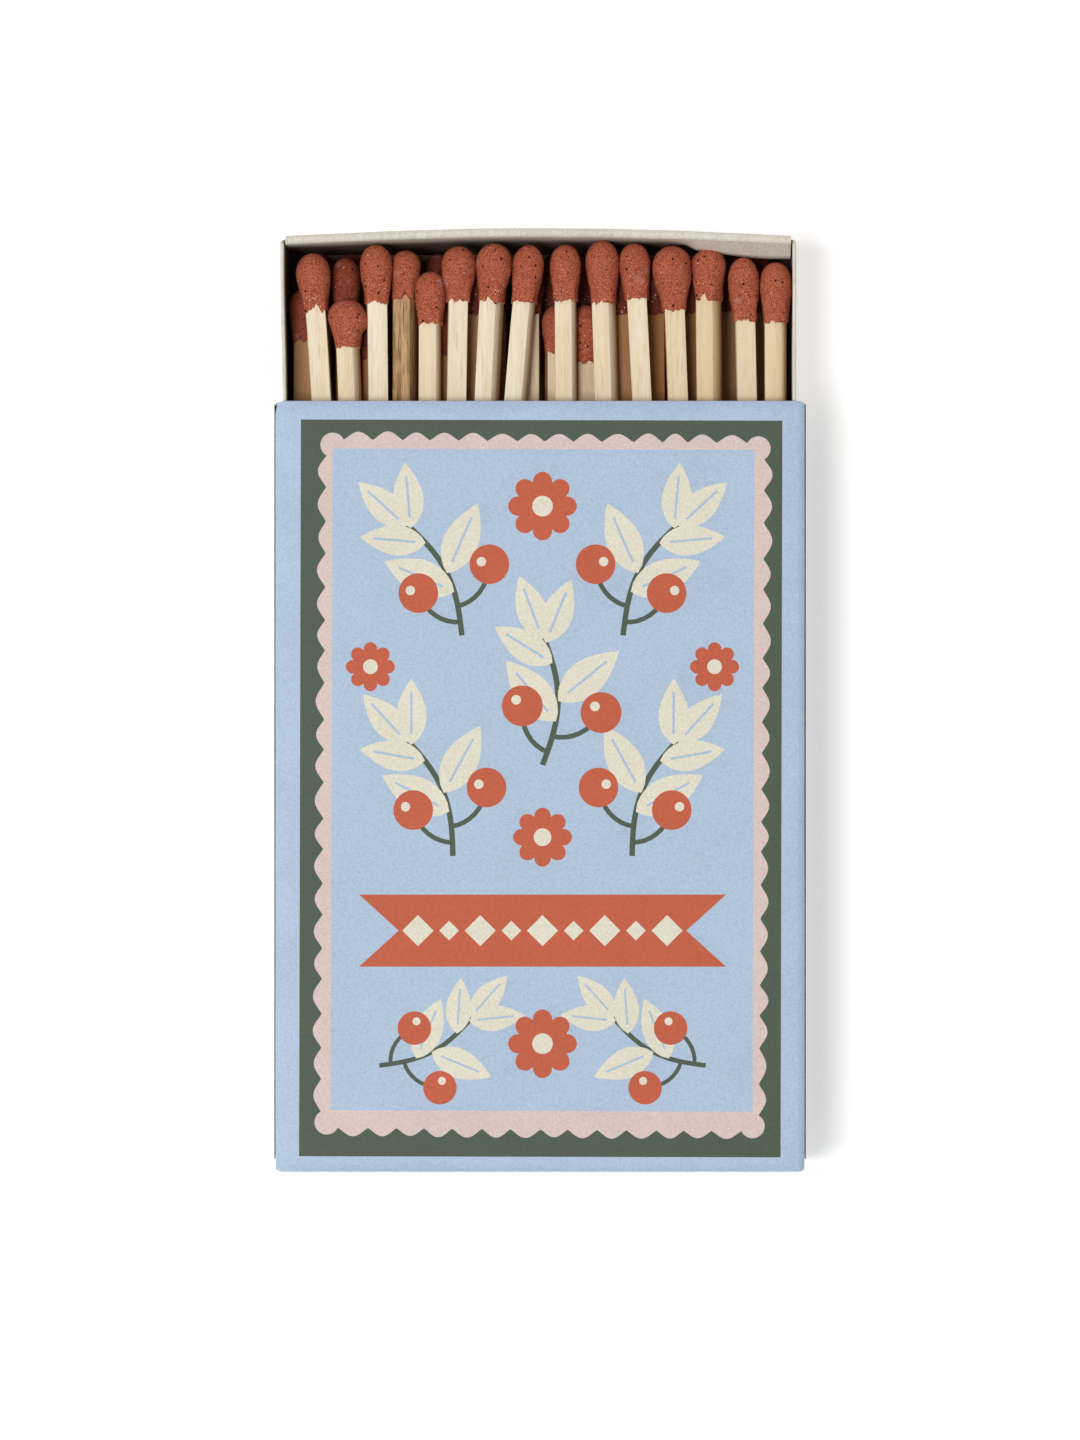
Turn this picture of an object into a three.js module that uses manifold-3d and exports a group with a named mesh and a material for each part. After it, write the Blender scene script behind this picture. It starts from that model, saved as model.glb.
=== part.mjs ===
// A slide-out box of long safety matches: a card sleeve with a striking strip on each side, a folded
// card tray that slides in it from either end, and seventy-five matches lying in the tray.
// Sizes are in millimetres. +Z is up and the label faces up, +Y is the way the tray is pulled out,
// and the origin is the middle of the sleeve's underside.

import * as THREE from "three";
import { mergeVertices } from "three/addons/utils/BufferGeometryUtils.js";
import Module from "manifold-3d";

const wasm = await Module();
wasm.setup();

// The matches
const MATCH_LENGTH = 83.4;
const SPLINT_SIDE = 2.4;
const HEAD_DIAMETER = 4.1;
const HEAD_LENGTH = 7.2;
const HEAD_GAP = 0.03; // air between two heads of the usual girth that lie side by side
const SPLINT_SPREAD = 1.72; // least pitch of the matches, in splint sides, so that leaning splints pass
const TIP_COVER = 2.4; // head composition in front of the splint's end
const GLUE_GAP = 0.03; // splint to the socket it fills in its head
const HEAD_SKIRT = 0.15; // least thickness of the head round the splint
const LOWER_PITCH = 3.6; // matches of the three packed rows at the bottom
const HEAD_WELD = 0.1; // how far two packed heads have dried into each other
const LOWER_HEAD_DIAMETER = LOWER_PITCH + HEAD_WELD;
const LOWER_ROWS = [16, 17, 16]; // matches in each packed row, from the floor up
const TOP_PLACES = 15; // heads that fit side by side in the top row
const SEAT = 0.05; // air between pieces that rest on each other
const ROLL_ROOM = 0.4; // more height for a top splint that is turned on its edge

// The tray
const TRAY_CARD = 0.35;
const TAB_PLAY = 0.05; // corner tab to the fold that holds it
const TRAY_FOLD = 0.6; // outer radius of the tray's creases
const TAB_LENGTH = 12;
const TAB_DROP = 1.2; // top of the corner tab below the rim
const PANEL_INSET = TRAY_FOLD + SEAT; // side of the end panel in from the side of the tray
const END_LAP = 3; // how far the end wall's sheet runs on under the floor's
const SLIVER = 0.005; // edges shorter than this are closed up
const SCARF = 0.1; // how much thinner the card starts where two sheets of it are merged
const RIM_MARGIN = 1.15; // rim above the usual top heads
const STAGGER_MARGIN = 0.5; // how far a set-back head clears the foremost heads
const END_PLAY = 0.2;
const WALL_BOW = 1; // how far the matches push the rim of each end wall out, in its middle
const WALL_FLARE = 0.45; // how far the left wall's rim springs out at the pulled end
const PULLED_OUT = 20.2; // front of the tray beyond the end of the sleeve

// The sleeve
const SLEEVE_CARD = 0.4;
const SLEEVE_FOLD = 0.9;
const SIDE_PLAY = 0.6;
const UNDER_PLAY = 0.15;
const OVER_PLAY = 0.45;
const END_RECESS = 0.3; // tray inside each end of the sleeve when the box is shut
const SIDE_BULGE = 0.25;
const LAP_HEIGHT = 14; // glue lap, inside the right-hand wall
const LAP_CUT = 3; // slant of the lap's ends
const STRIKER_COAT = 0.12;
const STRIKER_MARGIN = 1.6; // strip in from the sleeve's top and bottom
const STRIKER_FRONT = 0.3;
const STRIKER_BACK = 1.5;
const COAT_GAP = 0.02;

// Sizes worked out from those above
const pitch = Math.max(HEAD_DIAMETER + HEAD_GAP, SPLINT_SIDE * SPLINT_SPREAD);
const stagger = HEAD_LENGTH + STAGGER_MARGIN;
const endFold = 2 * TRAY_CARD + TRAY_CARD + TAB_PLAY; // outer panel, tab and inner panel
const lowerWidth = (Math.max(...LOWER_ROWS) - 1) * LOWER_PITCH + LOWER_HEAD_DIAMETER;
const inside = {
  width: Math.max(TOP_PLACES * pitch, lowerWidth + HEAD_GAP),
  length: MATCH_LENGTH + stagger + END_PLAY,
};
const restOn = (head) => (head + SPLINT_SIDE) / 2 + SEAT; // a head lying on the splint below it
const lowerRise = restOn(LOWER_HEAD_DIAMETER);
const secondRise = LOWER_HEAD_DIAMETER + SEAT;
const topRise = restOn(HEAD_DIAMETER);
const headLevel = [TRAY_CARD + SEAT + LOWER_HEAD_DIAMETER / 2];
headLevel.push(headLevel[0] + lowerRise, headLevel[0] + 2 * lowerRise);
headLevel.push(headLevel[2] + secondRise, headLevel[2] + secondRise + topRise);
const tailLevel = [TRAY_CARD + SEAT + SPLINT_SIDE / 2];
for (let row = 1; row < headLevel.length; row += 1) {
  const below = tailLevel[row - 1];
  const slope = (headLevel[row - 1] - below) / MATCH_LENGTH;
  const room = row < LOWER_ROWS.length ? SEAT : ROLL_ROOM;
  tailLevel.push(below + SPLINT_SIDE + room + slope * stagger);
}
const tray = {
  width: inside.width + 2 * TRAY_CARD,
  length: inside.length + 2 * endFold,
  height: headLevel[4] + HEAD_DIAMETER / 2 + RIM_MARGIN,
};
const sleeve = {
  width: tray.width + 2 * (SIDE_PLAY + SLEEVE_CARD),
  length: tray.length + 2 * END_RECESS,
  height: tray.height + UNDER_PLAY + OVER_PLAY + 2 * SLEEVE_CARD,
};

// Finishes
const finish = (color, roughness) => new THREE.MeshStandardMaterial({ color, roughness, metalness: 0 });
const PRINTED_CARD = finish("#b1c6e0", 0.62);
const TRAY_BOARD = finish("#e4e0d5", 0.8);
const STRIKER = finish("#4c5648", 0.95);
const ASPEN = finish("#ead9ba", 0.75);
const COMPOSITION = finish("#a8583f", 0.9);

// Turns a geometry into a solid that can be joined and cut.
function toSolid(geometry) {
  const bare = geometry.clone();
  bare.deleteAttribute("normal");
  bare.deleteAttribute("uv");
  const merged = mergeVertices(bare, 1e-5);
  return new wasm.Manifold(
    new wasm.Mesh({
      numProp: 3,
      vertProperties: merged.attributes.position.array,
      triVerts: new Uint32Array(merged.index.array),
    }),
  );
}

// Turns a solid back into a geometry, without the slivers that its joins leave.
function toGeometry(solid) {
  const mesh = solid.simplify(SLIVER).getMesh();
  const geometry = new THREE.BufferGeometry();
  geometry.setAttribute("position", new THREE.BufferAttribute(mesh.vertProperties, 3));
  geometry.setIndex(new THREE.BufferAttribute(mesh.triVerts, 1));
  const flat = geometry.toNonIndexed();
  flat.computeVertexNormals();
  return flat;
}

// Joins a row of rings, each a loop of points in space, and closes both ends. The rings turn
// anticlockwise seen from the far end of the row.
function loft(rings) {
  const count = rings[0].length;
  const index = [];
  for (let r = 0; r + 1 < rings.length; r += 1) {
    for (let i = 0; i < count; i += 1) {
      const [a, b] = [r * count + i, r * count + ((i + 1) % count)];
      index.push(a, b, b + count, a, b + count, a + count);
    }
  }
  const caps = capTriangles(rings[0]);
  const last = (rings.length - 1) * count;
  caps.forEach(([a, b, c]) => index.push(a, c, b, last + a, last + b, last + c));
  const geometry = new THREE.BufferGeometry().setFromPoints(rings.flat());
  geometry.setIndex(index);
  geometry.computeVertexNormals();
  return geometry;
}

// Triangles that fill a flat ring, wound the way the ring runs.
function capTriangles(ring) {
  const normal = new THREE.Vector3();
  ring.forEach((p, i) => normal.add(p.clone().cross(ring[(i + 1) % ring.length])));
  normal.normalize();
  const across = ring[1].clone().sub(ring[0]).projectOnPlane(normal).normalize();
  const up = normal.clone().cross(across);
  const flat = ring.map((p) => new THREE.Vector2(p.dot(across), p.dot(up)));
  return THREE.ShapeUtils.triangulateShape(flat, []);
}

// Points of an arc round (x, y), in degrees, both ends included.
function arc(x, y, radius, from, to, steps) {
  return Array.from({ length: steps + 1 }, (_, i) => {
    const angle = THREE.MathUtils.degToRad(from + ((to - from) * i) / steps);
    return new THREE.Vector2(x + radius * Math.cos(angle), y + radius * Math.sin(angle));
  });
}

function mesh(name, geometry, material) {
  const made = new THREE.Mesh(geometry, material);
  made.name = name;
  return made;
}

// Sleeve: half of a cross-section outline, mirrored, with its side walls bulged a little.
// `inset` is how far the outline lies inside the sleeve's outer surface.
function sleeveOutline(inset) {
  const [halfWidth, low, high] = [sleeve.width / 2 - inset, inset, sleeve.height - inset];
  const radius = SLEEVE_FOLD - inset;
  const right = [
    ...arc(halfWidth - radius, low + radius, radius, -90, 0, 4),
    ...bulge(halfWidth, low + radius, high - radius),
    ...arc(halfWidth - radius, high - radius, radius, 0, 90, 4),
  ];
  const left = right.map((p) => new THREE.Vector2(-p.x, p.y)).reverse();
  return [...right, ...left];
}

// Points of a wall that stands out by SIDE_BULGE half way between two heights, ends left out.
function bulge(x, from, to, steps = 6) {
  return Array.from({ length: steps - 1 }, (_, i) => {
    const share = (i + 1) / steps;
    return new THREE.Vector2(x + bulgeAt(share), from + (to - from) * share);
  });
}

function bulgeAt(share) {
  return SIDE_BULGE * Math.sin(Math.PI * share);
}

// Extrudes an outline, given as x and z, along Y between two places.
function alongY(outline, holes, from, to) {
  const shape = new THREE.Shape(outline);
  shape.holes = holes.map((hole) => new THREE.Path(hole));
  const geometry = new THREE.ExtrudeGeometry(shape, { depth: to - from, bevelEnabled: false });
  return geometry.rotateX(Math.PI / 2).translate(0, to, 0);
}

function makeSleeve() {
  const half = sleeve.length / 2;
  const tube = alongY(sleeveOutline(0), [sleeveOutline(SLEEVE_CARD)], -half, half);
  return mesh("sleeve", toGeometry(toSolid(tube).add(glueLap())), PRINTED_CARD);
}

// The lap that closes the sleeve: card of its own thickness against the inside of the right wall.
function glueLap() {
  const half = sleeve.length / 2;
  const [low, bend] = [SLEEVE_CARD, SLEEVE_FOLD];
  const wall = sleeve.width / 2;
  const face = (depth) =>
    bulge(wall - depth, bend, sleeve.height - bend).filter((p) => p.y < low + LAP_HEIGHT);
  const outer = face(SLEEVE_CARD / 2);
  const inner = face(2 * SLEEVE_CARD).reverse();
  const foot = new THREE.Vector2(wall - SLEEVE_CARD / 2, low / 2);
  const heel = new THREE.Vector2(wall - 2 * SLEEVE_CARD, low / 2);
  const band = alongY([foot, ...outer, ...inner, heel], [], -half, half);
  const top = outer.at(-1).y;
  const slant = new THREE.Shape([
    new THREE.Vector2(-half, 0),
    new THREE.Vector2(half, 0),
    new THREE.Vector2(half - LAP_CUT, top + low),
    new THREE.Vector2(-half + LAP_CUT, top + low),
  ]);
  const trim = new THREE.ExtrudeGeometry(slant, { depth: sleeve.width, bevelEnabled: false });
  trim.rotateX(Math.PI / 2).rotateZ(Math.PI / 2);
  return toSolid(band).intersect(toSolid(trim));
}

// A striking strip follows the bulge of the wall it is printed on. `side` is 1 right or -1 left.
function makeStriker(name, side) {
  const [low, high] = [SLEEVE_FOLD, sleeve.height - SLEEVE_FOLD];
  const steps = 10;
  const face = (proud) =>
    Array.from({ length: steps + 1 }, (_, i) => {
      const z = STRIKER_MARGIN + ((sleeve.height - 2 * STRIKER_MARGIN) * i) / steps;
      const x = sleeve.width / 2 + bulgeAt((z - low) / (high - low)) + proud;
      return new THREE.Vector2(side * x, z);
    });
  const outline = [...face(COAT_GAP), ...face(COAT_GAP + STRIKER_COAT).reverse()];
  const [back, front] = [-sleeve.length / 2 + STRIKER_BACK, sleeve.length / 2 - STRIKER_FRONT];
  return mesh(name, alongY(outline, [], back, front), STRIKER);
}

// Tray: how the folded card has settled. The end walls bow out and the left wall flares at the
// pulled end, both in proportion to the height above the floor.
function settled(x, y, z) {
  const rise = z / tray.height;
  const toEnd = Math.abs(y) / (tray.length / 2);
  const bow = toEnd > 0.97 ? WALL_BOW * rise * Math.cos((Math.PI * x) / tray.width) : 0;
  const pull = THREE.MathUtils.smoothstep(y, tray.length / 2 - 1.6 * PULLED_OUT, tray.length / 2);
  const flare = x < 0 ? (WALL_FLARE * rise * pull * x) / (tray.width / 2) : 0;
  return new THREE.Vector3(x + flare, y + Math.sign(y) * bow, z);
}

// Floor and side walls, one sheet bent up along both sides.
function trayChannel() {
  const [half, top, card] = [tray.width / 2, tray.height, TRAY_CARD];
  const inner = TRAY_FOLD - card;
  const outline = [
    ...arc(-half + TRAY_FOLD, TRAY_FOLD, TRAY_FOLD, 180, 270, 3),
    ...arc(half - TRAY_FOLD, TRAY_FOLD, TRAY_FOLD, 270, 360, 3),
    new THREE.Vector2(half, top),
    new THREE.Vector2(half - card, top),
    ...arc(half - TRAY_FOLD, TRAY_FOLD, inner, 360, 270, 3),
    ...arc(-half + TRAY_FOLD, TRAY_FOLD, inner, 270, 180, 3),
    new THREE.Vector2(-half + card, top),
    new THREE.Vector2(-half, top),
  ];
  const reach = tray.length / 2 - cornerCentre();
  const stations = [-1, 0, 0.4, 0.6, 0.75, 0.88, 1].map((share) => share * reach);
  return loft(stations.reverse().map((y) => outline.map((p) => settled(p.x, y, p.y))));
}

// Distance from the tray's end to the centre of its rounded corners, seen from above.
function cornerCentre() {
  return TRAY_CARD + TAB_PLAY / 2 + TRAY_FOLD;
}

// One end wall: the floor's sheet bent up, over the rim and down again to the floor. `end` is 1 or -1.
function trayEndWall(end) {
  const [top, card] = [tray.height, TRAY_CARD];
  const rim = endFold / 2;
  const outline = [
    new THREE.Vector2(-END_LAP, SCARF),
    ...arc(-TRAY_FOLD, TRAY_FOLD, TRAY_FOLD, 270, 360, 3),
    ...arc(-rim, top - rim, rim, 0, 180, 6),
    new THREE.Vector2(-endFold, card + 2 * SEAT),
    new THREE.Vector2(-endFold + card, card + 2 * SEAT),
    ...arc(-rim, top - rim, rim - card, 180, 0, 4),
    ...arc(-TRAY_FOLD, TRAY_FOLD, TRAY_FOLD - card, 360, 270, 3),
    new THREE.Vector2(-END_LAP, card - SCARF),
  ];
  const half = tray.width / 2 - PANEL_INSET;
  const steps = 10;
  const rings = Array.from({ length: steps + 1 }, (_, i) => {
    const x = half - (2 * half * i) / steps;
    return outline.map((p) => settled(x, end * (tray.length / 2 + p.x), p.y));
  });
  return loft(end > 0 ? rings.reverse() : rings);
}

// A corner tab: the end of a side wall turned in between the two panels of an end wall.
function trayTab(side, end) {
  const [half, card] = [tray.width / 2, TRAY_CARD];
  const centre = cornerCentre();
  const lowest = card + 2 * SEAT;
  const turned = (angle, top) => ({ angle, x: half - TRAY_FOLD, top });
  const stations = [
    { angle: 0, x: half - TRAY_FOLD, back: 2 * TRAY_FOLD, thin: SCARF, top: tray.height },
    turned(0, tray.height),
    turned(30, tray.height),
    turned(60, tray.height - TAB_DROP / 2),
    turned(90, tray.height - TAB_DROP),
    ...[0.25, 0.5, 0.75, 1].map((share) => ({
      angle: 90,
      x: half - TRAY_FOLD - share * TAB_LENGTH,
      top: tray.height - TAB_DROP,
    })),
  ];
  const rings = stations.map(({ angle, x, back = 0, thin = 0, top }) => {
    const turn = THREE.MathUtils.degToRad(angle);
    const point = (radius, z) =>
      settled(
        side * (x + radius * Math.cos(turn)),
        end * (tray.length / 2 - centre - back + radius * Math.sin(turn)),
        z,
      );
    const [outer, inner] = [TRAY_FOLD - thin, TRAY_FOLD - card + thin];
    const [low, high] = [lowest + thin, top - thin];
    return [point(outer, low), point(inner, low), point(inner, high), point(outer, high)];
  });
  return loft(side * end > 0 ? rings : rings.reverse());
}

function makeTray() {
  let solid = toSolid(trayChannel());
  for (const end of [1, -1]) {
    solid = solid.add(toSolid(trayEndWall(end)));
    for (const side of [1, -1]) {
      solid = solid.add(toSolid(trayTab(side, end)));
    }
  }
  return mesh("tray", toGeometry(solid), TRAY_BOARD);
}

// A match lies along -Y from the tip of its head. Its splint is a square stick, straight inside the
// head and warped behind it: `warp` is how far its tail strays from the head's axis.
function splintRings(warp, roll) {
  const places = [TIP_COVER, HEAD_LENGTH * 1.3];
  const bent = MATCH_LENGTH - places[1];
  [0.3, 0.55, 0.8, 1].forEach((share) => places.push(places[1] + share * bent));
  return places.map((along) => {
    const stray = -warp * (Math.max(0, along - places[1]) / bent) ** 2;
    return squareRing(SPLINT_SIDE, 4, along, roll, stray);
  });
}

// A ring of points on a square, each at an odd share of its turn so that the corners are among them.
function squareRing(side, count, along, roll, x = 0) {
  return Array.from({ length: count }, (_, i) => {
    const angle = (Math.PI * (2 * i + 1)) / count;
    return ringPoint(squareRadius(side / 2, angle), angle, along, roll, x);
  });
}

// Distance from the middle of a square to its side, in the direction of an angle.
function squareRadius(half, angle) {
  return half / Math.max(Math.abs(Math.cos(angle)), Math.abs(Math.sin(angle)));
}

function ringPoint(radius, angle, along, roll, x = 0) {
  const turned = angle + THREE.MathUtils.degToRad(roll);
  return new THREE.Vector3(x + radius * Math.cos(turned), -along, radius * Math.sin(turned));
}

// A head is round where it is widest, and behind that it never comes nearer the splint than
// its skirt, so that it takes the splint's square section at its base.
function headRings(diameter, length, roll, count, shares) {
  const widest = 0.38;
  const base = SPLINT_SIDE / 2 + HEAD_SKIRT;
  return shares.map((share) => {
    const past = (share - widest) / (share < widest ? widest : 1 - widest);
    const swell = share < widest ? Math.sqrt(1 - past * past) : (1 + Math.cos(Math.PI * past)) / 2;
    const round = share < widest ? (diameter / 2) * swell : base + (diameter / 2 - base) * swell;
    return Array.from({ length: count }, (_, i) => {
      const angle = (Math.PI * (2 * i + 1)) / count;
      const radius = share < widest ? round : Math.max(round, squareRadius(base, angle));
      return ringPoint(radius, angle, share * length, roll);
    });
  });
}

// Diameter of a head that is `girth` times as thick as the usual one, but still covers its splint.
function headDiameter(girth) {
  return Math.max(HEAD_DIAMETER * girth, SPLINT_SIDE * Math.SQRT2 + 2 * HEAD_SKIRT);
}

// The head of a single match, with the socket that its splint fills.
function headGeometry({ girth = 1, long = 1, roll = 0 }) {
  const count = 12;
  const length = HEAD_LENGTH * long;
  const shares = [0.015, 0.08, 0.2, 0.38, 0.6, 0.8, 1];
  const rings = headRings(headDiameter(girth), length, roll, count, shares);
  for (const along of [length, TIP_COVER - GLUE_GAP]) {
    rings.push(squareRing(SPLINT_SIDE + 2 * GLUE_GAP, count, along, roll));
  }
  return loft(rings);
}

// A single match. `head` and `tail` are places across the tray in pitches from its middle, `back`
// is the tip's distance behind the front of the tray, `lift` raises or drops the head's end.
function makeMatch(number, row, lie) {
  const { head, tail, back, warp = 0, roll = 0, lift = 0, girth = 1 } = lie;
  const group = new THREE.Group();
  const name = "match_" + String(number).padStart(2, "0");
  group.add(mesh(name + "_splint", loft(splintRings(warp * pitch, roll)), ASPEN));
  group.add(mesh(name + "_head", headGeometry(lie), COMPOSITION));
  const fatter = Math.max(0, (headDiameter(girth) - HEAD_DIAMETER) / 2);
  const height = headLevel[row] + lift + fatter;
  group.position.set(head * pitch, tray.length / 2 - back, height);
  group.rotation.set(
    Math.atan((height - tailLevel[row]) / MATCH_LENGTH),
    0,
    Math.atan(((tail - head + warp) * pitch) / MATCH_LENGTH),
    "ZXY",
  );
  return group;
}

// A packed row of whole matches, joined where their heads have dried together.
function makePackedRow(name, row, back) {
  const count = 8;
  const acrossCorners = LOWER_HEAD_DIAMETER / Math.cos(Math.PI / count);
  const rings = headRings(acrossCorners, HEAD_LENGTH, 0, count, [0.04, 0.38, 1]);
  rings.push(squareRing(SPLINT_SIDE, count, HEAD_LENGTH, 0));
  rings.push(squareRing(SPLINT_SIDE, count, MATCH_LENGTH, 0));
  const match = toSolid(loft(rings));
  const first = (-(LOWER_ROWS[row] - 1) * LOWER_PITCH) / 2;
  const places = Array.from({ length: LOWER_ROWS[row] }, (_, i) => first + i * LOWER_PITCH);
  const joined = places.map((x) => match.translate([x, 0, 0])).reduce((all, one) => all.add(one));
  const made = mesh(name, toGeometry(joined), ASPEN);
  made.position.set(0, tray.length / 2 - back, headLevel[row]);
  made.rotation.x = Math.atan((headLevel[row] - tailLevel[row]) / MATCH_LENGTH);
  return made;
}

// The top row from left to right, as its matches lie in the open end of the tray.
const TOP_ROW = [
  { head: -6.78, tail: -6.2, warp: 1.0, back: 2.0, girth: 1.02, roll: 4 },
  { head: -5.76, tail: -5.4, warp: 0.48, back: stagger, girth: 1.12, long: 0.82, roll: 14 },
  { head: -4.87, tail: -4.72, warp: 0.1, back: 0.95, girth: 0.98, roll: -3 },
  { head: -4.0, tail: -4.0, warp: -0.1, back: 1.55, girth: 0.88, long: 0.85, roll: 18, lift: -1.6 },
  { head: -3.25, tail: -3.27, warp: -0.05, back: 4.25, girth: 0.93, long: 0.9, roll: 10 },
  { head: -2.4, tail: -2.58, warp: -0.24, back: 1.15, girth: 1.05, long: 0.94, roll: -4 },
  { head: -1.33, tail: -1.86, warp: -0.73, back: 0.8, girth: 1.09, roll: 20 },
  { head: -0.29, tail: -1.15, warp: -1.26, back: 1.0, girth: 0.93, roll: 12, lift: 0.15 },
  { head: 0.75, tail: 0.9, back: 0.95, girth: 0.9, long: 0.96, roll: 10 },
  { head: 1.84, tail: 2.42, warp: 0.1, back: 0.4, long: 1.08, roll: 17 },
  { head: 2.78, tail: 3.54, warp: 0.39, back: 0.8, girth: 0.84, long: 0.96, roll: 2 },
  { head: 3.9, tail: 4.42, warp: 0.35, back: 1.1, girth: 1.19, long: 1.12, roll: -3 },
  { head: 5.01, tail: 5.47, warp: -0.4, back: 1.4, girth: 1.04, long: 0.9, roll: 26 },
  { head: 6.03, tail: 6.3, warp: 0.29, back: 2.5, girth: 0.88, long: 1.08, roll: -2 },
  { head: 7.0, tail: 7.05, back: 3.1, girth: 0.97, long: 1.04, roll: 11 },
];

// The looser second row, seen between the top splints.
const SECOND_ROW = [
  { head: -7.02, tail: -7.17, back: 5.9, girth: 0.92, long: 0.9, roll: 3, lift: -0.3 },
  { head: -5.79, tail: -5.85, back: 2.1, girth: 0.92, roll: -4, lift: -0.15 },
  { head: -4.99, tail: -5.1, back: stagger, girth: 0.9, roll: 2 },
  { head: -2.83, tail: -2.8, back: stagger - 0.6, girth: 0.9, roll: -3 },
  { head: -1.86, tail: -2.0, back: 2.0, girth: 0.9, roll: 2, lift: -0.15 },
  { head: -0.31, tail: -0.3, back: 2.0, girth: 0.86, roll: 4, lift: -0.2 },
  { head: 0.52, tail: 0.55, back: stagger + 0.2, girth: 0.9, long: 0.85, roll: 2, lift: -0.12 },
  { head: 1.38, tail: 1.45, back: stagger + 0.2, girth: 0.88, roll: -5 },
  { head: 2.49, tail: 2.55, back: 2.0, girth: 0.88, roll: 3, lift: -0.15 },
  { head: 3.41, tail: 3.5, back: 2.0, girth: 0.86, roll: -2, lift: -0.15 },
  { head: 4.48, tail: 4.55, back: 2.0, girth: 0.88, roll: 6, lift: -0.15 },
];

const sleeveGroup = new THREE.Group();
sleeveGroup.add(makeSleeve(), makeStriker("striker_left", -1), makeStriker("striker_right", 1));

const trayGroup = new THREE.Group();
trayGroup.position.set(0, PULLED_OUT + END_RECESS, SLEEVE_CARD + UNDER_PLAY);
trayGroup.add(makeTray());
const packedBack = endFold + END_PLAY / 2;
trayGroup.add(makePackedRow("match_row_floor", 0, packedBack));
trayGroup.add(makePackedRow("match_row_middle", 1, packedBack + stagger));
trayGroup.add(makePackedRow("match_row_upper", 2, packedBack));
SECOND_ROW.forEach((lie, i) => trayGroup.add(makeMatch(TOP_ROW.length + i + 1, 3, lie)));
TOP_ROW.forEach((lie, i) => trayGroup.add(makeMatch(i + 1, 4, lie)));

const matchbox = new THREE.Group();
matchbox.add(sleeveGroup, trayGroup);

export default matchbox;
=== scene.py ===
"""A slide-out box of long safety matches, seen from above with its tray partly pulled out.

The CAD model is loaded first as a fixed frame. Each sub-assembly is a class that reads its place
from the frame and builds its own meshes over it. Lengths inside the classes are in millimetres.
"""

import logging
import math
import random
from dataclasses import dataclass, field
from enum import Enum
from typing import Iterable, Sequence

import bmesh
import bpy
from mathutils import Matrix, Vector, noise
from mathutils.geometry import delaunay_2d_cdt


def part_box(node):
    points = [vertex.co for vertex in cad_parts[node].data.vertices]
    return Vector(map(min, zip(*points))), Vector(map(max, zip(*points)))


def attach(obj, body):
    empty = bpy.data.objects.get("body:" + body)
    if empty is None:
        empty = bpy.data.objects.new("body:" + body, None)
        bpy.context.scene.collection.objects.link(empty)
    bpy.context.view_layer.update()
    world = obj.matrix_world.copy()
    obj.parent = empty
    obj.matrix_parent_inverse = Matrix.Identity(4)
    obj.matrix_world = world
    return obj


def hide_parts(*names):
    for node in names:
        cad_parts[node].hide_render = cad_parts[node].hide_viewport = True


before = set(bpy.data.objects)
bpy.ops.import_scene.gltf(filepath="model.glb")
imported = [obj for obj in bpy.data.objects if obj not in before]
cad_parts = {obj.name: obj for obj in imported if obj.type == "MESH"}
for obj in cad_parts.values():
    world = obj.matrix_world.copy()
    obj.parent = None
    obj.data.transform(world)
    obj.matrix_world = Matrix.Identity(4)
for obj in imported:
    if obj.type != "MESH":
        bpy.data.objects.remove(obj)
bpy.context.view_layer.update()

LOG = logging.getLogger("matchbox")
MM = 0.001
LIGHT_LEVEL = 1.08  # light that falls on a level surface
SHEEN = 0.01  # what a matt surface mirrors of it
WELD = 0.004  # points of a mesh that are closer than this, in millimetres, become one

Point = tuple[float, float]
Colour = tuple[float, float, float, float]
Socket = bpy.types.NodeSocket


def colour(red: int, green: int, blue: int) -> Colour:
    """Turns a display colour into the albedo that shows it under the scene's light.

    Args:
        red: Red, from 0 to 255.
        green: Green, from 0 to 255.
        blue: Blue, from 0 to 255.

    Returns:
        Linear red, green, blue and alpha.
    """
    shares = (value / 255 for value in (red, green, blue))
    linear = [s / 12.92 if s <= 0.04045 else ((s + 0.055) / 1.055) ** 2.4 for s in shares]
    return tuple(max(0.0, value / LIGHT_LEVEL - SHEEN) for value in linear) + (1.0,)


def smoothstep(low: float, high: float, value: float) -> float:
    """Rises smoothly from 0 at low to 1 at high."""
    share = min(1.0, max(0.0, (value - low) / (high - low)))
    return share * share * (3 - 2 * share)


def mix(start: float, end: float, share: float) -> float:
    """Returns the value that lies at a share of the way from start to end."""
    return start + (end - start) * share


def arc(centre: Point, radius: float, start: float, end: float, steps: int) -> list[Point]:
    """Lists points of an arc, both ends included.

    Args:
        centre: Centre of the arc.
        radius: Its radius.
        start: First angle, in degrees.
        end: Last angle, in degrees.
        steps: Number of equal steps.

    Returns:
        The points, from start to end.
    """
    angles = (math.radians(mix(start, end, i / steps)) for i in range(steps + 1))
    return [(centre[0] + radius * math.cos(a), centre[1] + radius * math.sin(a)) for a in angles]


class Body(Enum):
    """The moving bodies of the CAD model."""

    SLEEVE = "sleeve"
    TRAY = "tray"


class Ink(Enum):
    """Printing inks of the label, as display colours."""

    SKY = (181, 200, 224)
    FIELD = (179, 199, 221)
    MOSS = (79, 93, 75)
    BLUSH = (221, 201, 194)
    CREAM = (230, 225, 205)
    CORAL = (199, 96, 67)


class Blend(Enum):
    """Arithmetic used between two shader values."""

    ADD = "ADD"
    SUBTRACT = "SUBTRACT"
    MULTIPLY = "MULTIPLY"
    LESS = "LESS_THAN"


# Shader trees


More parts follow.
